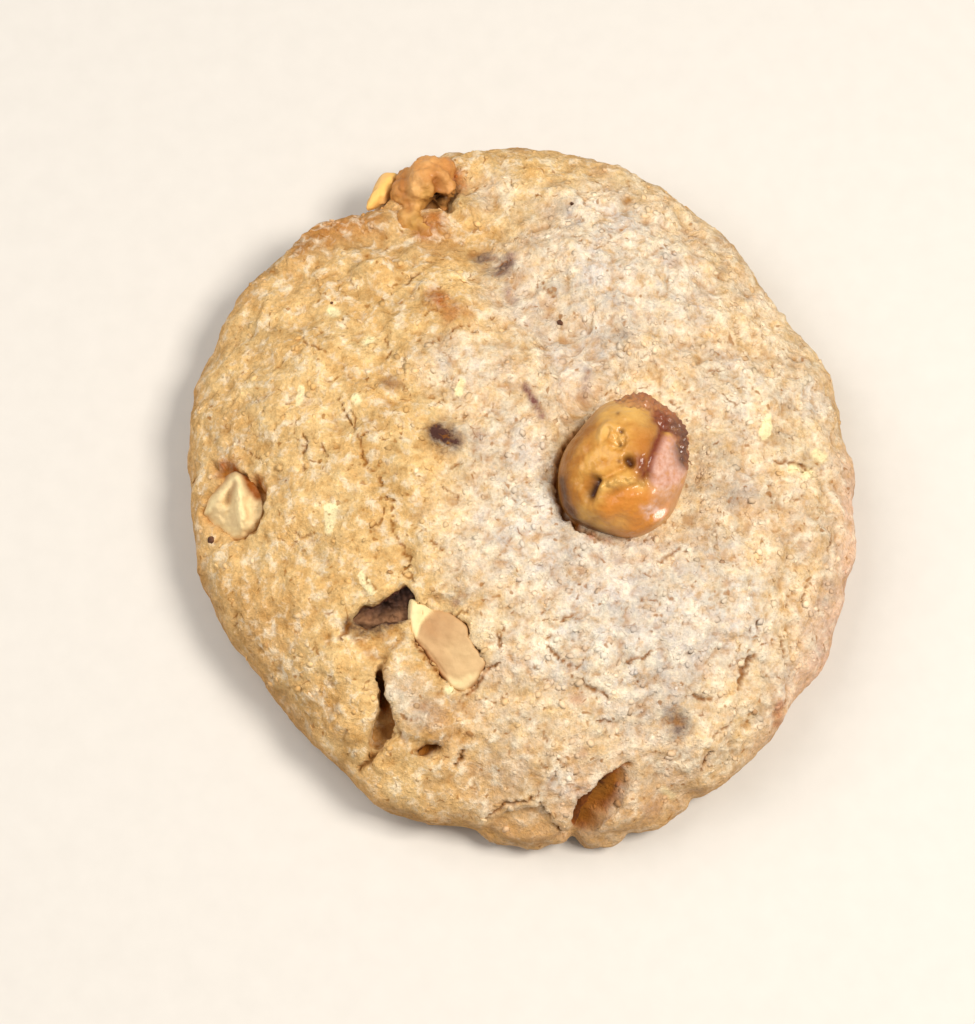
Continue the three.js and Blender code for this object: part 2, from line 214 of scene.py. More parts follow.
def pixelsOf(points):
    width, height = photo["size"]
    seen = (points * mm - np.array(camera.location)) @ np.array(camera.matrix_world.to_3x3())
    across = width / 2 - focal * seen[:, 0] / seen[:, 2]
    down = height / 2 + focal * seen[:, 1] / seen[:, 2]
    return np.stack([across, down], 1)


def gapTo(pixels, path):
    gap = np.full(len(pixels), 1e6)
    for start, end in zip(np.array(path[:-1], float), np.array(path[1:], float)):
        side = end - start
        along = np.clip((pixels - start) @ side / max(side @ side, 1e-9), 0, 1)
        gap = np.minimum(gap, np.linalg.norm(pixels - start - along[:, None] * side, axis=1))
    return gap * photo["pixel"]


def insideBy(pixels, outline):
    inside = np.zeros(len(pixels), bool)
    x, y = pixels.T
    closed = outline + outline[:1]
    for (ax, ay), (bx, by) in zip(closed[:-1], closed[1:]):
        crosses = (ay > y) != (by > y)
        inside ^= crosses & (x < ax + (y - ay) * (bx - ax) / ((by - ay) or 1e-9))
    gap = gapTo(pixels, closed)
    return np.where(inside, gap, -gap)


# a stroke is kind, width, strength, pixels and perhaps an outline that it keeps to;
# a line fades over its width, an area softens over its edge
def strokeMask(pixels, stroke):
    kind, width, strength, path, *bounds = stroke
    if kind == "area":
        mask = strength * ramp(-width / 2, width / 2, insideBy(pixels, path))
    else:
        mask = strength * np.exp(-(gapTo(pixels, path if len(path) > 1 else path * 2) / width) ** 2)
    for outline in bounds:
        mask = mask * ramp(-0.1, 0.1, insideBy(pixels, outline))
    return mask


def coverOf(pixels, strokes):
    return np.max([strokeMask(pixels, stroke) for stroke in strokes], axis=0)


def reliefOf(pixels, strokes):
    return sum(strokeMask(pixels, stroke) for stroke in strokes)


def depthUnder(skin, points):
    return np.array([skin.find_nearest(Vector(p) * mm)[3] / mm for p in points])


def unevenness(points, size, octaves, seed):
    shift = Vector((seed, 2 * seed, -seed))
    return np.array([noise.fractal(Vector(p) / size + shift, 1.0, 2.0, octaves) for p in points])


# a wave is height, size, octaves and seed
def wavesOf(points, waves):
    return sum(height * unevenness(points, *wave) for height, *wave in waves)


def jagged(path, step, wander, dice):
    points = [path[0]]
    for start, end in zip(path[:-1], path[1:]):
        count = max(1, round(np.linalg.norm(end - start) / step))
        for i in range(1, count + 1):
            points.append(start + (end - start) * i / count + dice.normal(0, wander, 3))
    return np.array(points)


def pathRatio(points, path, halfWidth):
    ratio = np.full(len(points), 9.0)
    low, high = path.min(0) - 4 * halfWidth, path.max(0) + 4 * halfWidth
    near = np.where(((points > low) & (points < high)).all(1))[0]
    count = len(path) - 1
    for i in range(count):
        side = path[i + 1] - path[i]
        offset = points[near] - path[i]
        along = np.clip(offset @ side / max(side @ side, 1e-9), 0, 1)
        taper = 0.35 + 0.65 * math.sin(math.pi * (i + 0.5) / count)
        away = np.linalg.norm(offset - along[:, None] * side, axis=1) / (halfWidth * taper)
        ratio[near] = np.minimum(ratio[near], away)
    return ratio


def patchMask(points, skin, patches):
    left = np.ones(len(points))
    for pixel, radius, strength in patches:
        away = np.linalg.norm(points - photoSpot(skin, pixel), axis=1) / radius
        left *= 1 - strength * np.exp(-away * away)
    return 1 - left


def openMesh(piece):
    shape = bmesh.new()
    shape.from_mesh(piece.data)
    return shape


def closeMesh(shape, piece):
    shape.to_mesh(piece.data)
    shape.free()


def splitWide(shape):
    bmesh.ops.triangulate(shape, faces=[f for f in shape.faces if len(f.verts) > 4])


def addPrism(shape, upper, lower):
    rings = [[shape.verts.new(tuple(p * mm)) for p in ring] for ring in (upper, lower)]
    count = len(upper)
    shape.faces.new(rings[0])
    shape.faces.new(rings[1][::-1])
    for i in range(count):
        j = (i + 1) % count
        shape.faces.new((rings[0][j], rings[0][i], rings[1][i], rings[1][j]))


def addVoxels(piece, size):
    remesh = piece.modifiers.new("voxels", "REMESH")
    remesh.mode = "VOXEL"
    remesh.voxel_size = size * mm


def addSmoothing(piece, rounds):
    smooth = piece.modifiers.new("smooth", "SMOOTH")
    smooth.factor = 0.5
    smooth.iterations = rounds


def fitOutline(points, pixels, sectors=24, squeeze=0.97):
    middle = (points.min(0) + points.max(0)) / 2
    ring = np.array([levelSpot(p, middle[2]) for p in pixels])
    middle = ring.mean(0)
    ring[:, 1] = middle[1] + (ring[:, 1] - middle[1]) * squeeze  # a round side shows past its equator
    away = points[:, :2] - middle[:2]
    angle = np.arctan2(away[:, 1], away[:, 0])
    reach = np.hypot(away[:, 0], away[:, 1])
    steps = np.linspace(-math.pi, math.pi, sectors + 1)
    sector = np.clip(np.digitize(angle, steps) - 1, 0, sectors - 1)
    own = np.array([reach[sector == k].max(initial=0.01) for k in range(sectors)])
    own = np.interp(angle, (steps[:-1] + steps[1:]) / 2, own, period=2 * math.pi)
    ringAway = ring[:, :2] - middle[:2]
    ringAngle = np.arctan2(ringAway[:, 1], ringAway[:, 0])
    order = np.argsort(ringAngle)
    ringReach = np.hypot(ringAway[:, 0], ringAway[:, 1])
    wanted = np.interp(angle, ringAngle[order], ringReach[order], period=2 * math.pi)
    fitted = points.copy()
    fitted[:, :2] = middle[:2] + away * (wanted / own)[:, None]
    return fitted


# Camera, light and floor

studio = {
    "floor": ("#CFCCC7", "#D6D3CE"),
    "floorHalf": 900.0,
    "floorGrain": 400.0,
    "world": "#F2F1EF",
    "worldStrength": 0.34,
    "keyWatts": 1.9,
    "keySize": 150.0,
    "keyPlace": (210.0, -50.0, 380.0),
    "keyColor": "#FFF6EA",
    "fillWatts": 1.25,
    "fillSize": 380.0,
    "fillPlace": (-260.0, 60.0, 360.0),
    "fillColor": "#FFF9F2",
}


def makeCamera():
    tilt = math.radians(photo["elevation"])
    back = Vector((0, -math.cos(tilt), math.sin(tilt)))
    data = bpy.data.cameras.new("photoCamera")
    data.lens = photo["lens"]
    data.sensor_width = photo["sensor"]
    data.clip_start = 0.01
    made = bpy.data.objects.new("photoCamera", data)
    made.location = (Vector(photo["aim"]) + back * photo["distance"]) * mm
    made.rotation_euler = (math.pi / 2 - tilt, 0, 0)
    scene.collection.objects.link(made)
    scene.camera = made
    bpy.context.view_layer.update()
    return made


def addLamp(name):
    place = Vector(studio[name + "Place"])
    data = bpy.data.lights.new(name, "AREA")
    data.energy = studio[name + "Watts"]
    data.size = studio[name + "Size"] * mm
    data.color = hexColor(studio[name + "Color"])[:3]
    lamp = bpy.data.objects.new(name, data)
    lamp.location = place * mm
    lamp.rotation_euler = place.to_track_quat("Z", "Y").to_euler()
    scene.collection.objects.link(lamp)


def makeFloor():
    half = studio["floorHalf"] * mm
    material, tree, shader = newMaterial("painted_board")  # matt pale paint, faint roller grain
    shader.inputs["Roughness"].default_value = 0.75
    coords = addNode(tree, "ShaderNodeTexCoord", out=3)
    grain = addNode(tree, "noise", {"Vector": coords, "Scale": studio["floorGrain"], "Detail": 4.0})
    dark, pale = [hexColor(code) for code in studio["floor"]]
    tint = addNode(tree, "mix", {0: grain, 6: dark, 7: pale}, 2)
    tree.links.new(tint, shader.inputs["Base Color"])
    corners = [(-half, -half, 0), (half, -half, 0), (half, half, 0), (-half, half, 0)]
    meshPiece("floor", corners, [(0, 1, 2, 3)], material)


camera = makeCamera()
world = bpy.data.worlds.new("studio")
world.use_nodes = True
sky = world.node_tree.nodes["Background"]
sky.inputs["Color"].default_value = hexColor(studio["world"])
sky.inputs["Strength"].default_value = studio["worldStrength"]
scene.world = world
scene.view_settings.view_transform = "Standard"
addLamp("key")
addLamp("fill")
makeFloor()
print("studio: camera, lamps and floor set")

# Dough

dough = {
    "voxel": 0.33,
    "smoothing": 4,
    "baseLevel": 0.15,  # faces lower than this are the flat underside
    "plugCover": 0.15,  # crust left over a filled pocket
    "plugDepth": 4.5,
    "cutRise": 3.0,  # of an opening's cutter over the crust
    "cutStep": 0.5,
    "cutWander": 0.1,  # sideways jitter of an opening's edge
    "trimReach": 12.0,  # how far in from the rim a trim pulls
    "fineReach": 0.4,  # the mesh is halved this close to a crack
    "crackStep": 0.32,
    "wander": 0.11,  # sideways jitter of a crack
    "farSwell": 0.6,  # outward swell of the far rim
    "rimLevels": (9.5, 4.5),  # heights where the rim's look starts and is full
    "rimToast": 0.55,
    "pinkRim": 0.7,
    "sideFlour": 0.42,  # on the right half
    "chipRise": 0.15,
    # strength of the painted shade in concave hollows
    "cavityRounds": 6,
    "cavityShadeStrength": 0.55,
    "ticks": 80,  # short random cracks
    "tickBox": ((220, 190), (830, 800)),
    "tickMiddle": (524, 496),
    "tickReach": (285, 295),
    "seed": 11,
}

doughSizes = {
    "Swell Scale": 1 / 9.0,
    "Swell Height": 0.4,
    "Lump Scale": 1 / 3.0,
    "Lump Height": 0.55,
    "Curd Scale": 1 / 1.7,
    "Curd Height": 0.3,
    "Grain Scale": 1 / 0.75,
    "Grain Height": 0.2,
    "Plate Scale": 1 / 2.4,
    "Plate Step": 0.2,
    "Hairline Width": 0.05,  # share of a plate
    "Hairline Depth": 0.16,
    "Seed": 3.0,
}

# pixel, radii and height over the skin of extra lumps in the dough
doughLumps = [
    ((462, 178), (2.2, 2.0, 2.4), -0.8), ((384, 224), (2.2, 1.5, 1.8), -0.3),
    ((478, 170), (2.6, 2.2, 2.0), -1.0), ((452, 214), (1.7, 1.0, 1.1), -0.4),
    ((470, 202), (1.8, 1.4, 1.4), -0.5), ((374, 215), (2.2, 1.5, 1.6), -0.2),
    ((396, 229), (1.4, 0.8, 0.8), -0.3), ((444, 212), (1.3, 0.9, 0.9), -0.3),
    ((454, 168), (2.0, 1.6, 1.8), -1.0), ((440, 168), (1.8, 1.8, 1.8), -1.0),
]
farLeftRim = [(298, 264), (310, 251), (323, 242), (335, 238), (347, 235), (360, 234)]
doughLumps += [(pixel, (2.0, 2.0, 2.0), -1.0) for pixel in farLeftRim]

# outlines of the nuts and of the hole that the crust leaves open, in pixels
flatPeanutEdge = [(410, 598), (420, 601), (433, 608), (446, 610), (458, 617), (468, 627), (469, 636),
    (476, 648), (488, 664), (482, 675), (478, 685), (466, 694), (455, 691), (445, 681), (435, 666),
    (424, 651), (415, 641), (408, 618)]
rimPeanutEdge = [(236, 471), (247, 476), (256, 486), (262, 500), (261, 516), (254, 530), (244, 538),
    (232, 539), (221, 531), (211, 524), (201, 515), (205, 503), (213, 490), (224, 478)]
slotEdge = [(356, 620), (362, 607), (371, 607), (385, 601), (395, 593), (401, 586), (408, 583), (414, 596),
    (411, 605), (409, 616), (396, 618), (384, 621), (370, 624)]
slotShelf = [(344, 627), (354, 614), (370, 622), (384, 620), (396, 617), (406, 615), (398, 621), (384, 625),
    (370, 633), (352, 640)]

hazelnutEdge = [(603, 405), (590, 418), (576, 436), (562, 454), (557, 472), (558, 491), (563, 510),
    (573, 523), (587, 530), (599, 533), (613, 537), (632, 539), (650, 533), (667, 520), (679, 500),
    (686, 484), (688, 470), (688, 452), (686, 436), (679, 425), (667, 415), (653, 403), (640, 398),
    (625, 399), (612, 403)]

wedgeFoot = [(628, 766), (617, 771), (606, 777), (602, 783), (600, 789), (591, 795), (583, 799), (578, 803),
    (577, 812), (572, 822)]
wedgeEdge = wedgeFoot + [(580, 850), (640, 850), (690, 800), (680, 760), (640, 762)]

# pixels on sound crust round the solid's pockets, which are filled before the true openings are cut
doughPlugs = [
    [(338, 612), (362, 596), (392, 584), (416, 580), (440, 596), (470, 618), (497, 664), (498, 702),
        (470, 714), (440, 694), (415, 655), (356, 662), (336, 640)],
    [(236, 460), (254, 467), (268, 486), (272, 505), (264, 532), (248, 548), (228, 550), (207, 534),
        (194, 516), (198, 500), (210, 476)],
    [(628 + 1.25 * (x - 628), 467 + 1.25 * (y - 467)) for x, y in hazelnutEdge[::3]],
    [(408, 740), (430, 736), (452, 742), (458, 756), (442, 766), (418, 762), (404, 752)],
]

# thickness and the corners, as pixel and height, of the slabs that make the near ledge
doughSlabs = {
    "ledge": (3.0, [(486, 818, 6.3), (500, 806, 6.9), (516, 802, 7.3), (532, 800, 7.5), (545, 808, 6.8),
            (553, 824, 5.8), (548, 838, 4.8), (530, 842, 4.7), (510, 838, 4.6), (494, 830, 4.8)]),
    "flake": (1.6, [(534, 794, 8.9), (552, 786, 9.4), (578, 786, 9.4), (588, 796, 8.8), (582, 808, 8.0),
            (575, 822, 7.0), (567, 832, 6.2), (556, 826, 6.6), (546, 812, 7.7)]),
    "wedge": (4.0, [(630, 766, 9.4), (612, 771, 8.7), (599, 781, 7.9), (588, 795, 6.8), (580, 808, 5.8),
            (574, 822, 4.6), (580, 836, 3.8), (594, 843, 3.2), (610, 832, 4.9), (626, 812, 7.0),
            (645, 788, 8.5), (646, 768, 9.4)]),
}

# pixel, width along the rim and step of each place where the rim is drawn in
rimTrims = [((684, 830), 6.0, 1.5)]

# depth, widening below the crust, and the pixels round each opening in the crust
doughOpenings = {
    "slot": (3.0, 1.1, slotEdge),
    "underLobe": (3.0, 0.9, [(379, 657), (386, 663), (388, 688), (393, 704), (396, 722), (389, 733),
            (380, 739), (376, 754), (369, 744), (373, 722), (378, 704), (378, 690), (372, 672)]),
}

# a little inside the flat peanut, round its middle
flatPeanutBed = [(447 + 0.93 * (x - 447), 648 + 0.95 * (y - 648)) for x, y in flatPeanutEdge]

# rise, softness of the edge and outline of each plate or hollow of the crust
crustPlates = {
    "flatPeanutBed": (-1.0, 0.2, flatPeanutBed),
    "rimPeanutBed": (-1.0, 0.3, rimPeanutEdge),
    "rimHollowWest": (-1.1, 0.7, [(210, 463), (224, 465), (238, 470), (234, 480), (222, 480), (212, 474)]),
    "rimHollowEast": (-0.9, 0.7, [(244, 474), (256, 476), (264, 490), (264, 500), (257, 498), (250, 488)]),
    "middleLobe": (0.5, 0.5, [(390, 652), (405, 642), (416, 650), (430, 668), (444, 686), (456, 700),
            (466, 716), (456, 732), (440, 741), (421, 740), (404, 734), (395, 722), (391, 705), (386, 688),
            (384, 664)]),
    "slotShelf": (-0.5, 0.5, [(352, 632), (372, 634), (395, 624), (406, 636), (392, 650), (384, 664),
            (374, 664), (358, 648)]),
    "leftLip": (0.35, 0.6, [(330, 632), (346, 636), (362, 652), (373, 672), (379, 692), (374, 718),
            (367, 742), (350, 740), (338, 700), (330, 660)]),
    "rimFlake": (0.5, 0.5, [(772, 301), (783, 303), (799, 316), (797, 324), (784, 320), (775, 311)]),
    "eastFlake": (0.35, 0.3, [(760, 424), (768, 420), (778, 428), (772, 441), (763, 437)]),
}

# width, depth and the pixels that each broad dip of the crust passes through
crustValleys = {
    "north": (7.0, 1.0, [(490, 235), (520, 285), (548, 315), (585, 362), (592, 400)]),
    "leftLobe": (4.0, 0.25, [(338, 396), (362, 455), (390, 505), (406, 580)]),
    "underMiddle": (1.6, 0.7, [(393, 733), (405, 743), (418, 750), (440, 753)]),
}

# width, depth and the photograph's pixels that each crack in the crust passes through
crustCracks = {
    "slotTail": (0.6, 0.5, [(352, 622), (345, 632), (341, 640)]),
    "slotStem": (0.36, 0.3, [(407, 584), (406, 572), (408, 560), (402, 545), (393, 530), (392, 514)]),
    "lobeValley": (0.8, 0.5, [(374, 752), (366, 762), (357, 770)]),
    "flakeEdge": (0.35, 0.5, [(536, 798), (543, 809), (550, 820), (557, 828), (566, 833)]),
    "ledgeLip": (0.6, 0.45, [(486, 820), (497, 810), (510, 805), (524, 803), (536, 798)]),
    "nutMoat": (1.1, 1.1, [(596, 412), (580, 431), (567, 450), (560, 470), (560, 492), (566, 510),
            (577, 523), (591, 531), (606, 537)]),
    "chipGap": (0.35, 0.5, [(366, 577), (371, 583), (375, 590)]),
    "chipTop": (0.3, 0.4, [(330, 502), (335, 503), (340, 506)]),
    "pore": (1.0, 1.7, [(419, 751), (428, 752), (438, 750)]),
    "poreNick": (0.5, 1.0, [(464, 751), (461, 759), (456, 766)]),
    "wedge": (0.6, 0.7, [(x + 2, y + 1) for x, y in wedgeFoot]),
    "peanutWest": (0.4, 0.5, [(414, 641), (424, 652), (435, 668), (445, 682)]),
    "peanutSouth": (0.45, 0.45, [(499, 663), (488, 669), (482, 678), (470, 693), (460, 698)]),
    "leftLobe": (0.36, 0.4, [(338, 396), (344, 410), (354, 429), (359, 436), (361, 447), (364, 463),
            (373, 470), (380, 476), (382, 488), (385, 495)]),
    "leftLobeEnd": (0.5, 0.4, [(386, 496), (390, 500), (392, 512)]),
    "leftLobeFork": (0.35, 0.3, [(359, 436), (368, 429)]),
    "topLeftHook": (0.4, 0.35, [(406, 282), (411, 275), (421, 271)]),
    "topLeftTick": (0.35, 0.3, [(379, 252), (386, 245), (391, 245)]),
    "leftShort": (0.35, 0.3, [(299, 330), (307, 342), (320, 348), (330, 345)]),
    "crownBracket": (0.35, 0.3, [(383, 336), (390, 348), (383, 359)]),
    "crownArc": (0.4, 0.35, [(450, 330), (457, 326), (468, 324), (478, 332)]),
    "crownDip": (0.35, 0.3, [(419, 338), (430, 342), (438, 336)]),
    "leftPair": (0.4, 0.35, [(301, 433), (306, 443), (302, 452), (303, 464)]),
    "leftPairEast": (0.35, 0.3, [(320, 445), (326, 455)]),
    "stainArc": (0.35, 0.3, [(450, 469), (456, 464), (462, 464)]),
    "leftSlant": (0.35, 0.3, [(282, 359), (271, 369)]),
    "longUpper": (0.45, 0.5, [(546, 645), (562, 659), (572, 666)]),
    "longLower": (0.5, 0.5, [(572, 676), (579, 678), (589, 688), (602, 693), (610, 698)]),
    "floorUpper": (0.4, 0.35, [(553, 619), (560, 621), (575, 611)]),
    "floorLower": (0.35, 0.3, [(546, 639), (556, 635)]),
    "floorHook": (0.35, 0.3, [(537, 621), (542, 611), (549, 609)]),
    "nutFoot": (0.35, 0.3, [(574, 580), (582, 583), (589, 585)]),
    "nutSouth": (0.35, 0.3, [(682, 542), (677, 552), (666, 557), (658, 562)]),
    "scarp": (0.45, 0.4, [(620, 662), (634, 659), (647, 655), (655, 649)]),
    "eastWide": (0.7, 0.6, [(737, 693), (742, 683), (746, 667), (751, 659), (759, 652)]),
    "eastShort": (0.4, 0.35, [(782, 636), (785, 659)]),
    "southFlat": (0.45, 0.4, [(687, 697), (696, 697), (708, 698), (716, 704)]),
    "southRise": (0.4, 0.35, [(716, 736), (726, 729), (740, 721)]),
    "rimRise": (0.45, 0.4, [(702, 771), (709, 759), (715, 752)]),
    "southTick": (0.35, 0.3, [(596, 722), (603, 722), (613, 721)]),
    "southNick": (0.35, 0.3, [(558, 760), (566, 766)]),
    "eastRib": (0.6, 0.45, [(773, 461), (787, 462), (800, 466), (814, 471)]),
    "eastDrop": (0.35, 0.3, [(770, 484), (772, 503)]),
    "eastSlit": (0.4, 0.45, [(834, 535), (829, 547)]),
    "eastLow": (0.4, 0.35, [(811, 584), (802, 605)]),
    "eastLowInner": (0.35, 0.3, [(790, 599), (788, 615)]),
    "northTick": (0.35, 0.3, [(603, 229), (613, 237)]),
    "northLine": (0.3, 0.25, [(573, 234), (590, 236)]),
    "eastTick": (0.3, 0.25, [(711, 368), (723, 367)]),
}

# pixel of the middle, radius and strength of each patch on the crust
flourDust = [
    ((560, 560), 9.0, 0.6), ((640, 600), 8.0, 0.7), ((613, 595), 3.0, 0.8), ((690, 625), 5.0, 0.6),
    ((660, 650), 5.0, 0.5), ((590, 650), 6.0, 0.5), ((600, 340), 5.0, 0.7), ((560, 250), 7.0, 0.5),
    ((640, 240), 7.0, 0.6), ((680, 290), 6.0, 0.6), ((720, 380), 7.0, 0.5), ((505, 430), 5.0, 0.6),
    ((470, 360), 4.0, 0.5), ((740, 560), 6.0, 0.5), ((760, 640), 6.0, 0.5), ((500, 520), 6.0, 0.5),
    ((540, 500), 4.0, 0.6), ((720, 480), 5.0, 0.4), ((790, 400), 5.0, 0.3), ((595, 276), 3.0, 0.6),
    ((440, 360), 3.0, 0.4), ((818, 400), 3.0, 0.8), ((765, 305), 3.0, 0.7), ((788, 690), 2.5, 0.6),
    ((560, 360), 3.0, 0.5), ((500, 365), 2.5, 0.3), ((740, 600), 3.0, 0.5), ((560, 660), 3.0, 0.5),
    ((500, 655), 3.0, 0.35), ((620, 720), 3.0, 0.5), ((560, 780), 2.5, 0.8), ((740, 420), 2.5, 0.4),
    ((740, 370), 3.0, 0.35), ((500, 300), 2.5, 0.3), ((582, 205), 3.5, 0.5), ((490, 190), 2.5, 0.5),
    ((618, 216), 2.5, 0.5),
]
# browned spots; those at the near wedge and on the lobe beside it are painted shade
toastAndShadeSpots = [
    ((225, 440), 4.0, 0.25), ((205, 520), 4.0, 0.3), ((250, 640), 6.0, 0.4), ((320, 740), 6.0, 0.25),
    ((300, 280), 4.0, 0.2), ((380, 240), 5.0, 0.25), ((470, 800), 6.0, 0.3), ((590, 795), 3.0, 0.9),
    ((640, 800), 6.0, 0.4), ((425, 200), 3.0, 0.5), ((626, 330), 1.2, 0.7), ((548, 207), 1.0, 0.7),
    ((798, 532), 3.0, 0.4), ((783, 695), 2.0, 0.7), ((738, 502), 3.0, 0.4), ((622, 198), 1.3, 0.4),
    ((226, 469), 1.4, 0.7), ((258, 485), 1.2, 0.6), ((410, 200), 3.0, 0.8), ((450, 175), 2.0, 0.3),
    ((535, 815), 4.0, 0.3), ((440, 240), 2.5, 0.5), ((800, 360), 2.0, 0.3), ((690, 780), 3.0, 0.3),
    ((602, 172), 1.3, 0.5), ((425, 231), 1.2, 0.6), ((440, 156), 1.2, 0.6), ((520, 154), 1.5, 0.6),
    ((655, 808), 2.0, 0.7), ((480, 157), 2.0, 0.2), ((525, 149), 1.3, 0.7), ((440, 720), 2.5, 0.5),
    ((500, 780), 2.5, 0.3), ((252, 300), 1.6, 0.4), ((272, 272), 1.6, 0.5), ((300, 244), 1.8, 0.8),
    ((318, 231), 1.8, 0.9), ((336, 226), 1.8, 0.9), ((354, 222), 1.8, 0.8), ((375, 219), 1.6, 0.7),
    ((724, 246), 1.6, 0.6), ((700, 219), 1.5, 0.5), ((712, 232), 1.2, 0.4),
]
# browned caramel smears; those round the hazelnut's left side, in the rim peanut's hollows and beside the
# caramel nut's hole are partly painted shade
caramelAndShadeSmears = [
    ((577, 434), 0.7, 0.5), ((565, 459), 0.7, 0.8), ((561, 480), 0.7, 0.9), ((565, 502), 0.7, 0.9),
    ((577, 521), 0.7, 0.9), ((592, 532), 0.7, 0.8), ((609, 539), 0.7, 0.5), ((594, 413), 0.7, 0.5),
    ((432, 293), 1.0, 0.75), ((440, 300), 1.1, 0.85), ((455, 307), 1.2, 0.5), ((470, 311), 0.8, 0.4),
    ((577, 698), 0.9, 0.5), ((447, 317), 0.8, 0.55), ((475, 431), 0.9, 0.35), ((385, 381), 0.9, 0.4),
    ((398, 386), 1.2, 0.3), ((584, 753), 0.7, 0.5), ((455, 603), 0.8, 0.4), ((727, 264), 1.2, 0.3),
    ((700, 221), 1.2, 0.3), ((220, 467), 0.9, 0.8), ((230, 469), 0.8, 0.85), ((254, 483), 0.9, 0.75),
    ((259, 492), 0.7, 0.7), ((418, 208), 2.0, 0.5), ((424, 230), 1.4, 0.5), ((402, 208), 1.3, 0.2),
    ((440, 160), 2.0, 0.5), ((455, 176), 1.0, 0.7), ((460, 187), 1.0, 0.6),
]
# grey flour dust; the patches down the north valley are painted shade
coolDustAndShade = [
    ((505, 262), 3.0, 0.5), ((530, 300), 3.5, 0.6), ((560, 335), 3.5, 0.3), ((590, 372), 3.0, 0.5),
    ((560, 400), 3.0, 0.4), ((600, 570), 4.0, 0.5), ((640, 610), 5.0, 0.5), ((670, 700), 4.0, 0.5),
    ((700, 640), 4.0, 0.4), ((520, 450), 3.0, 0.4), ((470, 560), 3.5, 0.4), ((400, 690), 2.5, 0.5),
    ((415, 710), 2.0, 0.5), ((640, 720), 5.0, 0.2), ((500, 700), 5.0, 0.3), ((620, 300), 4.0, 0.35),
    ((560, 540), 3.0, 0.3), ((740, 480), 3.0, 0.5), ((500, 780), 3.0, 0.1), ((620, 185), 2.5, 0.2),
]
cocoaSmears = [
    ((484, 252), 1.0, 0.45), ((502, 259), 1.2, 0.6), ((622, 335), 1.3, 0.35), ((735, 497), 2.0, 0.3),
    ((460, 596), 1.2, 0.35), ((455, 706), 1.6, 0.3), ((562, 206), 1.2, 0.4), ((650, 362), 1.4, 0.25),
    ((436, 428), 0.8, 0.9), ((443, 435), 1.1, 0.97), ((452, 442), 1.0, 0.95), ((445, 432), 1.7, 0.5),
    ((475, 432), 1.2, 0.3), ((385, 381), 1.0, 0.4), ((398, 386), 1.3, 0.25), ((477, 254), 0.8, 0.4),
    ((497, 266), 0.9, 0.45), ((676, 720), 1.5, 0.6), ((684, 727), 1.0, 0.5), ((830, 595), 1.4, 0.4),
    ((724, 270), 0.7, 0.5), ((618, 304), 1.8, 0.3), ((560, 542), 2.0, 0.2),
]
# strokes on the crust: plum and cocoa are cocoa that has bled, caramel is browned dough with painted shade
# at the near scarp's foot, deep is painted shade under that scarp, chip is nut flush with the crust, and
# wedge the depth that the near opening is carved to
crustStainsAndShade = {
    "wedge": [("line", 0.5, 0.5, wedgeFoot[:2], wedgeEdge), ("line", 1.1, 0.7, wedgeFoot[1:6], wedgeEdge),
        ("line", 1.6, 0.8, wedgeFoot[5:9], wedgeEdge)],
    "plum": [("line", 0.45, 0.9, [(525, 385), (533, 397), (543, 416)]),
        ("line", 0.6, 0.5, [(506, 284), (515, 296)]), ("line", 0.6, 0.5, [(472, 250), (488, 251)]),
        ("line", 0.8, 0.65, [(510, 250), (502, 258), (496, 264)]),
        ("line", 0.8, 0.45, [(592, 372), (584, 392)]), ("line", 0.7, 0.35, [(616, 556), (620, 560)])],
    "caramel": [("line", 0.5, 0.7, wedgeFoot[:3], wedgeEdge), ("line", 1.4, 0.9, wedgeFoot[2:6], wedgeEdge),
        ("line", 2.1, 0.95, wedgeFoot[5:9], wedgeEdge),
        ("line", 0.3, 0.45, [(488, 668), (480, 680), (468, 695)]),
        ("line", 0.5, 0.6, [(782, 704), (777, 725)]),
        ("line", 0.3, 0.45, [(416, 644), (426, 656), (440, 676)])],
    "chip": [("area", 0.3, 0.95, [(361, 572), (367, 578), (371, 584), (375, 592), (373, 595), (369, 594),
            (364, 588), (360, 582), (358, 575)]),
        ("area", 0.5, 0.85, [(324, 506), (328, 503), (338, 504), (336, 511), (334, 520), (331, 531),
            (327, 534), (325, 521)]),
        ("area", 0.3, 0.8, [(299, 382), (303, 386), (303, 394), (300, 403), (296, 405), (295, 400),
            (296, 392)]), ("area", 0.3, 0.8, [(462, 375), (464, 382), (463, 394), (460, 397), (456, 395),
            (456, 387)]), ("area", 0.3, 0.8, [(768, 413), (773, 417), (772, 425), (771, 434), (766, 441),
            (762, 437), (760, 429)]), ("line", 0.45, 0.8, [(331, 310), (335, 312)]),
        ("line", 0.4, 0.8, [(366, 341), (370, 339)]), ("line", 0.4, 0.8, [(355, 396), (357, 400)]),
        ("line", 0.45, 0.8, [(817, 453), (823, 458)]), ("line", 0.4, 0.9, [(792, 469), (796, 469)]),
        ("line", 0.4, 0.9, [(806, 475), (810, 473)]), ("line", 0.5, 0.3, [(664, 790), (672, 796)]),
        ("line", 0.35, 0.9, [(448, 690), (452, 690)])],
    "deepShade": [("line", 0.4, 0.6, wedgeFoot[:2], wedgeEdge), ("line", 0.8, 1.0, wedgeFoot[1:3], wedgeEdge),
        ("line", 1.3, 1.2, wedgeFoot[2:5], wedgeEdge), ("line", 1.4, 1.0, wedgeFoot[4:9], wedgeEdge)],
    "cocoa": [("area", 1.2, 0.62, slotShelf), ("line", 0.9, 0.9, [(350, 624), (362, 627), (376, 626)]),
        ("line", 0.45, 0.9, [(376, 626), (392, 621), (408, 617)]),
        ("area", 0.8, 1.3, [(434, 426), (444, 427), (452, 434), (456, 443), (448, 447), (439, 442)])],
}


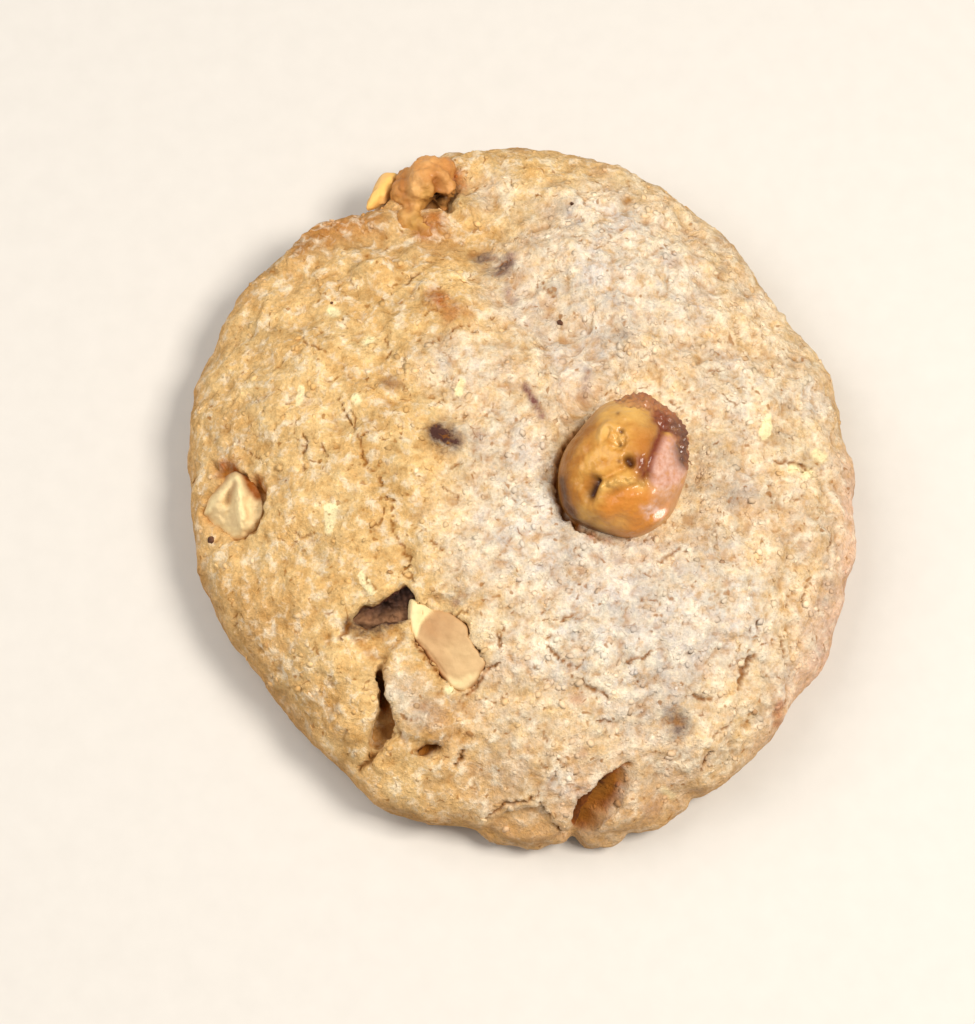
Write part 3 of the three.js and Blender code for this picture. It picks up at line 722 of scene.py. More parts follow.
def warped(tree, coords, scale, amount):
    swirl = addNode(tree, "noise", {"Vector": coords, "Scale": scale, "Detail": 2.0}, 1)
    swirl = addNode(tree, "subtractVectors", {0: swirl, 1: (0.5, 0.5, 0.5)})
    swirl = addNode(tree, "scaleVectors", {0: swirl, "Scale": amount})
    return addNode(tree, "addVectors", {0: coords, 1: swirl})


def hairlines(tree, coords, sizes):
    bent = warped(tree, coords, 0.9, 0.8)
    edge = addNode(tree, "cellEdges", {"Vector": bent, "Scale": sizes["Plate Scale"]})
    gate = addNode(tree, "noise", {"Vector": coords, "Scale": 0.8, "Detail": 3.0})
    gate = addNode(tree, "range", {0: gate, 1: 0.56, 2: 0.7})
    reach = addNode(tree, "multiply", {0: gate, 1: sizes["Hairline Width"]})
    reach = addNode(tree, "add", {0: reach, 1: 0.0001})
    line = addNode(tree, "softRange", {0: edge, 1: 0.0, 2: reach, 3: 1.0, 4: 0.0})
    cell = addNode(tree, "cells", {"Vector": bent, "Scale": sizes["Plate Scale"]}, 1)
    return addNode(tree, "multiply", {0: line, 1: gate}), cell


def reliefTree():
    tree, given = newTree("doughRelief", doughSizes)
    place = addNode(tree, "GeometryNodeInputPosition")
    inMm = addNode(tree, "scaleVectors", {0: place, "Scale": 1 / mm})
    coords = addNode(tree, "addVectors", {0: inMm, 1: given["Seed"]})
    rough, carve = [addNode(tree, "GeometryNodeInputNamedAttribute", {"Name": name}, data_type="FLOAT")
                    for name in ("rough", "carve")]
    bent = warped(tree, coords, 1 / 1.6, 1.6)
    layers = []
    for label, kind, middle, gain, extra in (
            ("Swell", "noise", 0.5, 2.0, {"Detail": 1.0}),
            ("Lump", "noise", 0.5, 2.0, {"Detail": 2.0}),
            ("Curd", "cells", 0.42, -2.0, {"Detail": 1.0, "Roughness": 0.6}),
            ("Grain", "noise", 0.5, 2.0, {"Detail": 2.0, "Roughness": 0.6})):
        field = addNode(tree, kind, {"Vector": bent, "Scale": given[label + " Scale"], **extra})
        centred = addNode(tree, "subtract", {0: field, 1: middle})
        signed = addNode(tree, "multiply", {0: centred, 1: gain})
        layers.append(addNode(tree, "multiply", {0: signed, 1: given[label + " Height"]}))
    line, cell = hairlines(tree, coords, given)
    cellParts = addNode(tree, "ShaderNodeSeparateXYZ", {0: cell})
    cellOff = addNode(tree, "subtract", {0: cellParts, 1: 0.5})
    layers.append(addNode(tree, "multiply", {0: cellOff, 1: given["Plate Step"]}))
    total = layers[0]
    for layer in layers[1:]:
        total = addNode(tree, "add", {0: total, 1: layer})
    total = addNode(tree, "multiply", {0: total, 1: rough})
    lineDepth = addNode(tree, "multiply", {0: line, 1: given["Hairline Depth"]})
    lineDepth = addNode(tree, "multiply", {0: lineDepth, 1: rough})
    total = addNode(tree, "subtract", {0: total, 1: lineDepth})
    total = addNode(tree, "subtract", {0: total, 1: carve})
    height = addNode(tree, "multiply", {0: total, 1: mm})
    normal = addNode(tree, "GeometryNodeInputNormal")
    move = addNode(tree, "scaleVectors", {0: normal, "Scale": height})
    kept = addNode(tree, "GeometryNodeStoreNamedAttribute",
                   {"Geometry": given["Geometry"], "Name": "rest", "Value": place}, data_type="FLOAT_VECTOR")
    moved = addNode(tree, "GeometryNodeSetPosition", {"Geometry": kept, "Offset": move})
    showGeometry(tree, moved, given["Material"])
    return tree


def bakedDough():
    # matt sandy crumb, pale flour, browned rim
    material, tree, shader = newMaterial("baked_shortcrust_dough")
    rest = addNode(tree, "ShaderNodeAttribute", out=1, attribute_name="rest")
    stored = ("rough", "toastAndShade", "pinkRim", "flour", "coolAndShade", "chip", "plum", "caramel", "deepShade", "cocoa",
              "cavityShade", "crackShade")
    masks = {name: addNode(tree, "ShaderNodeAttribute", out=2, attribute_name=name) for name in stored}
    coords = addNode(tree, "scaleVectors", {0: rest, "Scale": 1 / mm})
    seeded = addNode(tree, "addVectors", {0: coords, 1: (doughSizes["Seed"],) * 3})
    swirl = addNode(tree, "noise", {"Vector": coords, "Scale": 1 / 1.4, "Detail": 2.0}, 1)
    bent = addNode(tree, "addVectors", {0: seeded, 1: swirl})
    fields = {}
    for name, place, size, detail, coarse in (
            ("mottle", coords, 4.0, 6.0, 0.72),
            ("breakup", coords, 1.3, 5.0, 0.7),
            ("haze", seeded, 2.6, 4.0, 0.5),
            ("curd", bent, 1.3, 4.0, 0.62),
            ("cloud", bent, 3.0, 3.0, 0.6),
            ("grain", seeded, 0.36, 4.0, 0.75),
            ("pore", bent, 0.8, 1.0, 0.5)):
        fields[name] = addNode(tree, "noise", {"Vector": place, "Scale": 1 / size, "Detail": detail,
                                               "Roughness": coarse})
    curdMost = addNode(tree, "range", {0: masks["rough"], 1: 0.25, 2: 0.6, 3: 0.35, 4: 1.0})
    for name, field, low, high, least, most in (
            ("mottle", "mottle", 0.3, 0.7, 0.0, 1.0),
            ("haze", "haze", 0.42, 0.62, 0.0, 1.0),
            ("curd", "curd", 0.5, 0.66, 0.0, curdMost),
            ("hollowShade", "curd", 0.46, 0.32, 0.0, 1.0),
            ("cloud", "cloud", 0.32, 0.62, 0.82, 1.08),
            ("grain", "grain", 0.3, 0.7, 0.73, 1.19),
            ("pore", "pore", 0.68, 0.76, 0.0, 0.7)):
        masks[name] = addNode(tree, "range", {0: fields[field], 1: low, 2: high, 3: least, 4: most})
    breakup = addNode(tree, "subtract", {0: fields["breakup"], 1: 0.5})
    tint = addNode(tree, "mix", {0: masks["mottle"], 6: hexColor("#CFA160"), 7: hexColor("#EFCF95")}, 2)
    dust = addNode(tree, "mix", {0: masks["haze"], 6: hexColor("#E9E0CF"), 7: hexColor("#D7D0C9")}, 2)
    for name, color, wander, low, high in (
            # browned dough, and painted shade in a few spots
            ("toastAndShade", hexColor("#B57C40"), 0.9, 0.05, 0.95),
            ("pinkRim", hexColor("#DEB096"), 1.2, 0.1, 0.9),
            ("flour", dust, 2.6, 0.1, 1.0),
            # grey dust, with painted shade down the north valley
            ("coolAndShade", hexColor("#CDC3BA"), 2.2, 0.1, 1.0),
            ("curd", hexColor("#FAEFD6"), 0.0, 0.0, 1.7),
            # painted shade: darker tan in the bump's low places between the curds
            ("hollowShade", hexColor("#BC8A44"), 0.0, 0.0, 2.0),
            ("chip", hexColor("#FFEFBC"), 0.5, 0.1, 0.5),
            ("plum", hexColor("#84564C"), 2.4, 0.1, 1.0),
            # browned dough, and painted shade along the near scarp and round the nuts
            ("caramel", hexColor("#A85A14"), 2.0, 0.15, 0.9),
            # painted shade, in two darker steps, under the crust and the near scarp
            ("deepShade", hexColor("#8C4A10"), 0.6, 0.05, 0.6),
            ("deepShade", hexColor("#3A1C08"), 0.6, 0.55, 1.2),
            ("cocoa", hexColor("#4E3029"), 2.6, 0.1, 1.0)):
        swing = addNode(tree, "multiply", {0: breakup, 1: wander})
        swing = addNode(tree, "multiply", {0: swing, 1: masks[name]})
        broken = addNode(tree, "add", {0: masks[name], 1: swing})
        share = addNode(tree, "range", {0: broken, 1: low, 2: high})
        tint = addNode(tree, "mix", {0: share, 6: tint, 7: color}, 2)
    # broad light and dark patches, then sandy grain
    for name in ("cloud", "grain"):
        tint = addNode(tree, "tone", {0: 1.0, 6: tint, 7: masks[name]}, 2)
    # painted shade: small pores, concave hollows, hairlines and cracks darkened brown
    line = hairlines(tree, seeded, doughSizes)[0]
    dark = addNode(tree, "maximum", {0: line, 1: masks["crackShade"]})
    dark = addNode(tree, "multiply", {0: dark, 1: 0.7})
    for share, color in ((masks["pore"], "#98601C"), (masks["cavityShade"], "#A0681E"), (dark, "#86500F")):
        tint = addNode(tree, "mix", {0: share, 6: tint, 7: hexColor(color)}, 2)
    tree.links.new(tint, shader.inputs["Base Color"])
    shader.inputs["Roughness"].default_value = 0.88
    shader.inputs["Specular IOR Level"].default_value = 0.25
    fine = addNode(tree, "multiply", {0: fields["grain"], 1: 0.6})
    height = addNode(tree, "add", {0: fine, 1: fields["curd"]})
    bump = addNode(tree, "ShaderNodeBump", {"Strength": 0.9, "Distance": 0.45 * mm, "Height": height})
    tree.links.new(bump, shader.inputs["Normal"])
    return material


def cutterPiece(crust, dice):
    shape = bmesh.new()
    for depth, spread, pixels in doughOpenings.values():
        spots = spotsOn(crust, pixels + pixels[:1])
        edge = jagged(spots, dough["cutStep"], dough["cutWander"], dice)[:-1]
        middle = edge.mean(0)
        floor = middle + (edge - middle) * spread - depth * up
        addPrism(shape, edge + dough["cutRise"] * up, floor)
    bmesh.ops.recalc_face_normals(shape, faces=shape.faces)
    bmesh.ops.triangulate(shape, faces=shape.faces)
    piece = meshPiece("doughCutters", [], [])
    closeMesh(shape, piece)
    return piece


def trimRim(mesh, skin):
    points = pointsOf(mesh)
    for pixel, width, step in rimTrims:
        outward = photoSpot(skin, pixel)[:2]
        edge = np.linalg.norm(outward)
        outward = outward / edge
        across = points[:, :2] @ np.array((-outward[1], outward[0]))
        inner = ramp(edge - dough["trimReach"], edge, points[:, :2] @ outward)
        pull = step * np.exp(-(2 * across / width) ** 2) * inner
        points[:, :2] -= pull[:, None] * outward
    movePoints(mesh, points)


def doughBlank(dice):
    piece = nodeCopy("cookie_dough", "dough")
    skin = skinOf(piece)
    shape = openMesh(piece)
    for pixel, radii, lift in doughLumps:
        ball = bmesh.ops.create_icosphere(shape, subdivisions=3, radius=1.0)["verts"]
        middle = photoSpot(skin, pixel) + lift * up
        for v in ball:
            v.co = Vector(np.array(v.co) * radii + middle) * mm
    for pixels in doughPlugs:
        edge = spotsOn(skin, pixels)
        addPrism(shape, edge - dough["plugCover"] * up, edge - dough["plugDepth"] * up)
    for thickness, corners in doughSlabs.values():
        edge = np.array([levelSpot(corner, corner[2]) for corner in corners])
        addPrism(shape, edge, edge - thickness * up)
    splitWide(shape)
    closeMesh(shape, piece)
    addVoxels(piece, dough["voxel"])
    settle(piece)
    trimRim(piece.data, skin)
    crust = skinOf(piece)
    cutters = cutterPiece(crust, dice)
    cut = piece.modifiers.new("openings", "BOOLEAN")
    cut.operation = "DIFFERENCE"
    cut.solver = "MANIFOLD"
    cut.object = cutters
    addVoxels(piece, dough["voxel"])
    addSmoothing(piece, dough["smoothing"])
    settle(piece)
    bpy.data.objects.remove(cutters)
    piece.data.materials.clear()
    shape = openMesh(piece)
    low = dough["baseLevel"] * mm
    flat = [f for f in shape.faces if max(v.co.z for v in f.verts) < low]
    bmesh.ops.dissolve_faces(shape, faces=flat)
    splitWide(shape)
    closeMesh(shape, piece)
    return piece, crust


def randomTicks(dice):
    middle, reach = np.array(dough["tickMiddle"]), np.array(dough["tickReach"])
    ticks = {}
    while len(ticks) < dough["ticks"]:
        place = dice.uniform(*dough["tickBox"])
        if (((place - middle) / reach) ** 2).sum() > 1:
            continue
        heading = dice.uniform(0, 2 * math.pi)
        pixels = [tuple(place)]
        for _ in range(dice.integers(1, 4)):
            heading += dice.normal(0, 0.4)
            place = place + dice.uniform(5, 11) * np.array((math.cos(heading), math.sin(heading)))
            pixels.append(tuple(place))
        ticks["tick" + str(len(ticks))] = (dice.uniform(0.2, 0.34), dice.uniform(0.14, 0.3), pixels)
    return ticks


def refineNear(piece, paths):
    points = pointsOf(piece.data)
    close = np.zeros(len(points), bool)
    for path in paths:
        close |= pathRatio(points, path, 1.0) < dough["fineReach"]
    shape = openMesh(piece)
    shape.verts.ensure_lookup_table()
    edges = [e for e in shape.edges if close[e.verts[0].index] and close[e.verts[1].index]]
    bmesh.ops.subdivide_edges(shape, edges=edges, cuts=1, use_grid_fill=True, smooth=0.0)
    splitWide(shape)
    closeMesh(shape, piece)


def cavityOf(mesh, rounds):
    edges = np.empty(len(mesh.edges) * 2, dtype=np.int64)
    mesh.edges.foreach_get("vertices", edges)
    a, b = edges.reshape(-1, 2).T
    points = pointsOf(mesh)
    count = len(points)
    share = np.bincount(a, minlength=count) + np.bincount(b, minlength=count)
    mean = points
    for _ in range(rounds):
        columns = [np.bincount(a, mean[b, k], count) + np.bincount(b, mean[a, k], count) for k in range(3)]
        mean = np.stack(columns, 1) / share[:, None]
    return ((mean - points) * normalsOf(mesh)).sum(1)


def doughCarving(points, pixels, upper, cracks, paths):
    crackShade = np.zeros(len(points))
    split = np.zeros(len(points))
    for name, (width, depth, spots) in cracks.items():
        ratio = pathRatio(points, paths[name], width / 2)
        crackShade = np.maximum(crackShade, ramp(1.1, 0.3, ratio))
        split = np.maximum(split, depth * ramp(1.2, 0.0, ratio))
    carve = split.copy()
    for width, depth, spots in crustValleys.values():
        carve += depth * upper * np.exp(-(2 * gapTo(pixels, spots) / width) ** 2)
    ragged = 0.3 * unevenness(points, 0.9, 2, 5.0)
    for rise, softness, outline in crustPlates.values():
        carve -= rise * upper * ramp(-softness / 2, softness / 2, insideBy(pixels, outline) + ragged)
    y, z = points.T[1:]
    carve -= dough["farSwell"] * ramp(8, 22, y) * ramp(11, 6, z) * ramp(0.5, 3, z)
    return crackShade, split, carve


def storeTones(mesh, points, pixels, skin):
    x, y, z = points.T
    calm = np.maximum(insideBy(pixels, flatPeanutEdge), insideBy(pixels, rimPeanutEdge))
    rim = ramp(*dough["rimLevels"], z)
    flour = patchMask(points, skin, flourDust)
    flour = np.maximum(flour, dough["sideFlour"] * ramp(-12, 12, x - 0.2 * y)) * (1 - 0.55 * rim)
    floury = ramp(0.1, 0.6, flour)
    paleRim = ramp(5, 15, x) * ramp(0, 8, y)
    browned = dough["rimToast"] * rim * (1 - 0.7 * np.maximum(paleRim, 0.8 * ramp(18, 28, x)))
    rough = (0.7 + 0.3 * floury) * (0.4 + 0.6 * ramp(5.0, 9.0, z)) * ramp(0.2, 1.5, z)
    storeMask(mesh, "rough", rough * (1 - 0.7 * ramp(-0.9, 0, calm)))
    storeMask(mesh, "crumbly", ramp(4.0, 8.0, z) * (0.35 + 0.65 * floury))
    storeMask(mesh, "flour", flour)
    storeMask(mesh, "coolAndShade", patchMask(points, skin, coolDustAndShade) * (1 - rim))
    storeMask(mesh, "toastAndShade", np.maximum(patchMask(points, skin, toastAndShadeSpots), browned))
    storeMask(mesh, "pinkRim", dough["pinkRim"] * ramp(17, 29, x) * ramp(11, 6.5, z) * (1 - 0.8 * paleRim))


def storeStainsAndShade(mesh, points, pixels, skin, deepShade):
    z = points[:, 2]
    inSlot = ramp(-0.8, 0.0, insideBy(pixels, slotEdge)) * ramp(0.5, 1.1, deepShade)
    stainsAndShade = {
        "caramel": patchMask(points, skin, caramelAndShadeSmears),
        # painted shade: darker the deeper a point lies under the crust
        "deepShade": ramp(0.25, 1.5, deepShade) * ramp(3.0, 5.0, z),
        "cocoa": np.maximum(patchMask(points, skin, cocoaSmears), inSlot),
    }
    for name, strokes in crustStainsAndShade.items():
        stainAndShade = coverOf(pixels, strokes) * ramp(3.0, 4.5, z)
        stainsAndShade[name] = np.maximum(stainAndShade, stainsAndShade.get(name, 0.0))
        storeMask(mesh, name, stainsAndShade[name])
    return stainsAndShade


def makeDough():
    dice = np.random.default_rng(dough["seed"])
    piece, crust = doughBlank(dice)
    skin = skinOf(piece)
    cracks = {**crustCracks, **randomTicks(dice)}
    paths = {}
    for name, (width, depth, spots) in cracks.items():
        paths[name] = jagged(spotsOn(skin, spots), dough["crackStep"], dough["wander"], dice)
    refineNear(piece, paths.values())
    mesh = piece.data
    points = pointsOf(mesh)
    pixels = pixelsOf(points)
    upper = ramp(-0.1, 0.3, normalsOf(mesh)[:, 2])
    crackShade, split, carve = doughCarving(points, pixels, upper, cracks, paths)
    # painted shade along every crack
    storeMask(mesh, "crackShade", crackShade)
    storeTones(mesh, points, pixels, skin)
    deepShade = depthUnder(crust, points) + np.maximum(split - 0.4, 0)
    stainsAndShade = storeStainsAndShade(mesh, points, pixels, skin, deepShade)
    storeMask(mesh, "carve", carve + upper * (stainsAndShade["wedge"] - dough["chipRise"] * stainsAndShade["chip"]))
    runTree(piece, reliefTree(), doughSizes, bakedDough())
    # painted shade: the dough is darkened where its surface is concave
    hollowShade = cavityOf(piece.data, dough["cavityRounds"])
    storeMask(piece.data, "cavityShade", dough["cavityShadeStrength"] * ramp(0.03, 0.22, hollowShade))
    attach(piece, "root")
    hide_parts("dough")
    print("dough:", len(piece.data.polygons), "faces")
    return piece, crust


doughPiece, crustSkin = makeDough()

# Crumbs

crumbSizes = {
    "Density": 0.9,  # crumbs on a square millimetre
    "Smallest": 0.1,
    "Largest": 0.4,
    "Flatness": 0.4,
    "Seed": 5,
}
crumbForms = 4


def crumbTree():
    tree, given = newTree("crumbScatter", crumbSizes)
    crumbly = addNode(tree, "GeometryNodeInputNamedAttribute", {"Name": "crumbly"}, data_type="FLOAT")
    perArea = addNode(tree, "multiply", {0: given["Density"], 1: 1 / mm ** 2})
    density = addNode(tree, "multiply", {0: perArea, 1: crumbly})
    scatter = addNode(tree, "GeometryNodeDistributePointsOnFaces",
                      {"Mesh": given["Geometry"], "Density": density, "Seed": given["Seed"]},
                      distribute_method="RANDOM")
    turn = scatter.node.outputs["Rotation"]
    forms = tree.nodes.new("GeometryNodeJoinGeometry")
    for i in range(crumbForms):
        ball = addNode(tree, "GeometryNodeMeshIcoSphere", {"Radius": 1.0, "Subdivisions": 1})
        place = addNode(tree, "GeometryNodeInputPosition")
        shifted = addNode(tree, "addVectors", {0: place, 1: (7.0 * i, 3.0, 1.0)})
        dent = addNode(tree, "noise", {"Vector": shifted, "Scale": 0.8, "Detail": 1.0})
        grow = addNode(tree, "range", {0: dent, 1: 0.3, 2: 0.7, 3: 0.6, 4: 1.3})
        moved = addNode(tree, "scaleVectors", {0: place, "Scale": grow})
        crumb = addNode(tree, "GeometryNodeSetPosition", {"Geometry": ball, "Position": moved})
        single = addNode(tree, "GeometryNodeGeometryToInstance", {0: crumb})
        tree.links.new(single, forms.inputs[0])
    chances = "FunctionNodeRandomValue"
    pick = addNode(tree, chances, {4: 0, 5: crumbForms - 1, "Seed": 1}, 2, data_type="INT")
    chance = addNode(tree, chances, {2: 0.0, 3: 1.0, "Seed": 2}, 1, data_type="FLOAT")
    rare = addNode(tree, "power", {0: chance, 1: 2.2})
    size = addNode(tree, "range", {0: rare, 3: given["Smallest"], 4: given["Largest"]})
    size = addNode(tree, "multiply", {0: size, 1: mm})
    form = addNode(tree, chances, {0: (0.8, 0.7, 0.5), 1: (1.4, 1.2, 0.9), "Seed": 3},
                   data_type="FLOAT_VECTOR")
    squash = addNode(tree, "ShaderNodeCombineXYZ", {0: 1.0, 1: 1.0, 2: given["Flatness"]})
    form = addNode(tree, "multiplyVectors", {0: form, 1: squash})
    scale = addNode(tree, "scaleVectors", {0: form, "Scale": size})
    spin = addNode(tree, chances, {0: (-0.4, -0.4, -3.1), 1: (0.4, 0.4, 3.1), "Seed": 4},
                   data_type="FLOAT_VECTOR")
    turned = addNode(tree, "FunctionNodeRotateRotation", {0: turn, 1: spin}, rotation_space="LOCAL")
    placed = addNode(tree, "GeometryNodeInstanceOnPoints",
                     {"Points": scatter, "Instance": forms.outputs[0], "Pick Instance": True,
                      "Instance Index": pick, "Rotation": turned, "Scale": scale})
    showGeometry(tree, placed, given["Material"])
    return tree


def makeCrumbs():
    piece = bpy.data.objects.new("crust_crumbs", doughPiece.data.copy())
    scene.collection.objects.link(piece)
    runTree(piece, crumbTree(), crumbSizes, doughPiece.data.materials[0])
    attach(piece, "root")
    print("crumbs:", len(piece.data.polygons), "faces")


makeCrumbs()

# Nuts

def paint(mesh, pixels, front, colors):
    for name, strokes in colors.items():
        storeMask(mesh, name, coverOf(pixels, strokes) * front)


def sightOf(points):
    sight = np.array(camera.location) / mm - points
    return sight / np.linalg.norm(sight, axis=1)[:, None]


def nutBlank(name, node, levels, outline):
    piece = nodeCopy(name, node)
    movePoints(piece.data, fitOutline(pointsOf(piece.data), outline))
    rounding = piece.modifiers.new("rounding", "SUBSURF")
    rounding.levels = levels
    rounding.render_levels = levels
    settle(piece)
    piece.data.shade_smooth()
    return piece


def bubbles(points, size):
    return np.array([noise.voronoi(Vector(p) / size)[0][0] for p in points])


# colors are the marks that paint stores, each with its colour and how far flecks break it up
def nutMaterial(name, base, colors, mottle, rough, coat, relief):
    material, tree, shader = newMaterial(name)
    place = addNode(tree, "ShaderNodeTexCoord", out=3)
    coords = addNode(tree, "scaleVectors", {0: place, "Scale": 1 / mm})
    broad = addNode(tree, "noise", {"Vector": coords, "Scale": 1 / mottle, "Detail": 5.0})
    broad = addNode(tree, "range", {0: broad, 1: 0.35, 2: 0.65})
    tint = addNode(tree, "mix", {0: broad, 6: hexColor(base[0]), 7: hexColor(base[1])}, 2)
    fleck = addNode(tree, "noise", {"Vector": coords, "Scale": 1 / 0.5, "Detail": 4.0})
    fleck = addNode(tree, "subtract", {0: fleck, 1: 0.5})
    for mark, color, wander in colors:
        mask = addNode(tree, "ShaderNodeAttribute", out=2, attribute_name=mark)
        swing = addNode(tree, "multiply", {0: fleck, 1: wander})
        swing = addNode(tree, "multiply", {0: swing, 1: mask})
        share = addNode(tree, "add", {0: mask, 1: swing}, use_clamp=True)
        tint = addNode(tree, "mix", {0: share, 6: tint, 7: hexColor(color)}, 2)
    tree.links.new(tint, shader.inputs["Base Color"])
    shader.inputs["Roughness"].default_value = rough
    shader.inputs["Specular IOR Level"].default_value = 0.25
    if coat:
        matt = addNode(tree, "ShaderNodeAttribute", out=2, attribute_name="matt")
        gloss = addNode(tree, "range", {0: matt, 3: coat, 4: 0.0})
        tree.links.new(gloss, shader.inputs["Coat Weight"])
        shader.inputs["Coat Roughness"].default_value = 0.14
    fine = addNode(tree, "noise", {"Vector": coords, "Scale": 1 / 0.45, "Detail": 4.0, "Roughness": 0.65})
    bump = addNode(tree, "ShaderNodeBump", {"Strength": relief, "Distance": 0.15 * mm, "Height": fine})
    tree.links.new(bump, shader.inputs["Normal"])
    return material


hazelnut = {
    "base": ("#B67828", "#D9A552"),
    "colors": (("shade", "#93591A", 0.6), ("amber", "#C67C2A", 0.8), ("rosy", "#C48A5C", 0.9),
        ("crust", "#9C6240", 1.4), ("film", "#BE8672", 1.6), ("frostAndSheen", "#DDB9A6", 6.0),
        ("paleCrumbAndLight", "#D8AE62", 1.2), ("maroon", "#6E2A14", 0.8), ("burnt", "#2C2228", 0.8),
        ("pitAndShade", "#4A2004", 0.4)),
    "edge": hazelnutEdge,
    "levels": 3,
    "waves": ((0.2, 3.4, 3, 4.0), (0.1, 1.0, 3, 9.0)),
    "relief": [
        ("line", 0.5, -0.8, [(594, 481), (592, 488), (590, 496)]),
        ("line", 0.42, -0.7, [(628, 459), (630, 463)]),
        ("line", 0.25, -0.3, [(621, 431)]),
        ("line", 0.25, -0.3, [(620, 444)]),
        ("line", 0.2, -0.2, [(619, 461)]),
        ("line", 0.4, 0.25, [(600, 437), (603, 430), (609, 424)]),
        ("line", 0.3, -0.3, [(606, 437), (609, 430)]),
        ("line", 0.55, 0.22, [(607, 446), (612, 428), (625, 430), (630, 442), (622, 453), (610, 450)]),
        ("line", 0.4, -0.4, [(597, 480), (610, 474), (622, 469)]),
        ("line", 0.45, 0.35, [(603, 487), (618, 480), (634, 480)]),
        ("line", 0.5, -0.3, [(612, 496), (624, 490), (638, 485), (648, 478)]),
        ("line", 0.5, -0.35, [(664, 428), (658, 441), (652, 456), (648, 472), (650, 486)]),
        ("line", 0.4, -0.2, [(592, 524), (598, 519)]),
        ("line", 1.0, 0.4, [(598, 506), (606, 512)]),
        ("area", 2.2, 0.15, [(612, 498), (630, 490), (650, 488), (665, 494), (676, 504), (664, 520),
                (648, 530), (630, 535), (614, 530), (604, 515)]),
    ],
    "crater": [("area", 0.5, 1.0, [(609, 440), (613, 432), (622, 432), (628, 440), (622, 450), (613, 449)]),
        ("line", 0.35, 0.8, [(604, 487), (618, 480), (634, 480)])],
    "crust": ("area", 0.5, 1.0, [(610, 398), (619, 386), (635, 380), (660, 384), (676, 398), (694, 412),
            (704, 432), (705, 450), (698, 472), (683, 471), (680, 458), (678, 446), (672, 436), (664, 428),
            (655, 420), (648, 411), (636, 407), (622, 407)]),
    "glints": [((659, 514), 1.5, 0.5), ((687, 476), 0.5, 0.3), ((644, 482), 0.4, 0.3)],
    "glintLean": (0.225, -0.256, 0.94),  # faces half way between the camera and the key lamp
    "paint": {
        "shade": [("line", 1.1, 0.9, [(590, 420), (576, 440), (566, 458), (563, 475), (565, 495),
                (571, 508)]), ("line", 0.7, 0.6, [(610, 497), (619, 493)]),
            ("line", 1.2, 0.85, [(650, 420), (646, 440), (642, 458)])],
        "amber": [("area", 1.6, 0.9, [(608, 496), (625, 488), (645, 486), (660, 496), (668, 512),
                (652, 531), (632, 540), (613, 537), (604, 526), (600, 510)]),
            ("line", 1.0, 0.45, [(642, 436), (640, 452), (644, 468)])],
        "rosy": [("area", 1.2, 0.85, [(650, 488), (664, 484), (684, 474), (692, 468), (690, 486),
                (677, 508), (664, 517), (651, 508)]),
            ("area", 1.0, 0.8, [(680, 470), (704, 462), (704, 500), (684, 520), (670, 512)])],
        "matt": [("area", 0.8, 0.9, [(664, 434), (673, 437), (681, 462), (690, 470), (686, 490), (664, 492),
                (651, 484), (653, 458)])],
        "film": [("area", 0.6, 0.95, [(664, 434), (673, 437), (679, 448), (681, 462), (685, 472),
                (678, 482), (664, 488), (653, 484), (651, 472), (653, 458), (659, 444)])],
        # pale frost on the film; the second patch, round the big glint, is a painted sheen
        "frostAndSheen": [("area", 1.0, 0.36, [(664, 438), (674, 442), (680, 462), (688, 472), (680, 488),
                (668, 500), (654, 492), (652, 474), (656, 456)]),
            ("area", 1.0, 0.5, [(640, 506), (655, 500), (664, 510), (658, 522), (645, 518)])],
        # pale crumbs in the crater and on ridges; the broad line over the nut's top is painted light
        "paleCrumbAndLight": [("area", 0.6, 0.6, [(611, 440), (614, 434), (621, 433), (626, 440), (621, 448),
                (614, 447)]), ("line", 0.4, 0.7, [(604, 487), (618, 481), (632, 481)]),
            ("line", 0.5, 0.6, [(600, 437), (605, 429)]), ("line", 0.5, 0.7, [(645, 482), (640, 486)]),
            ("line", 1.2, 0.55, [(608, 416), (625, 411), (642, 418)]),
            ("line", 0.9, 0.4, [(585, 517), (600, 526), (620, 522)])],
        "maroon": [("line", 0.5, 0.9, [(664, 424), (659, 438), (653, 454), (649, 470)]),
            ("line", 0.75, 0.9, [(642, 462), (645, 476)]),
            ("area", 0.6, 0.75, [(655, 408), (668, 414), (672, 432), (660, 430), (652, 420)])],
        "burnt": [("line", 0.8, 0.62, [(676, 424), (684, 434), (687, 446), (684, 458)]),
            ("line", 0.7, 0.7, [(679, 448), (683, 462)])],
        # dark pits with painted shade in them, and a painted contact shadow along the lower left edge
        "pitAndShade": [("line", 0.5, 1.0, [(594, 481), (592, 488), (590, 496)]),
            ("line", 0.42, 1.0, [(628, 459), (630, 463)]), ("line", 0.22, 0.9, [(621, 431)]),
            ("line", 0.22, 0.8, [(620, 444)]), ("line", 0.2, 0.7, [(619, 461)]),
            ("line", 0.2, 0.6, [(618, 414)]),
            ("line", 0.45, 0.9, [(562, 480), (566, 505), (577, 521), (594, 530), (612, 538)])],
    },
}


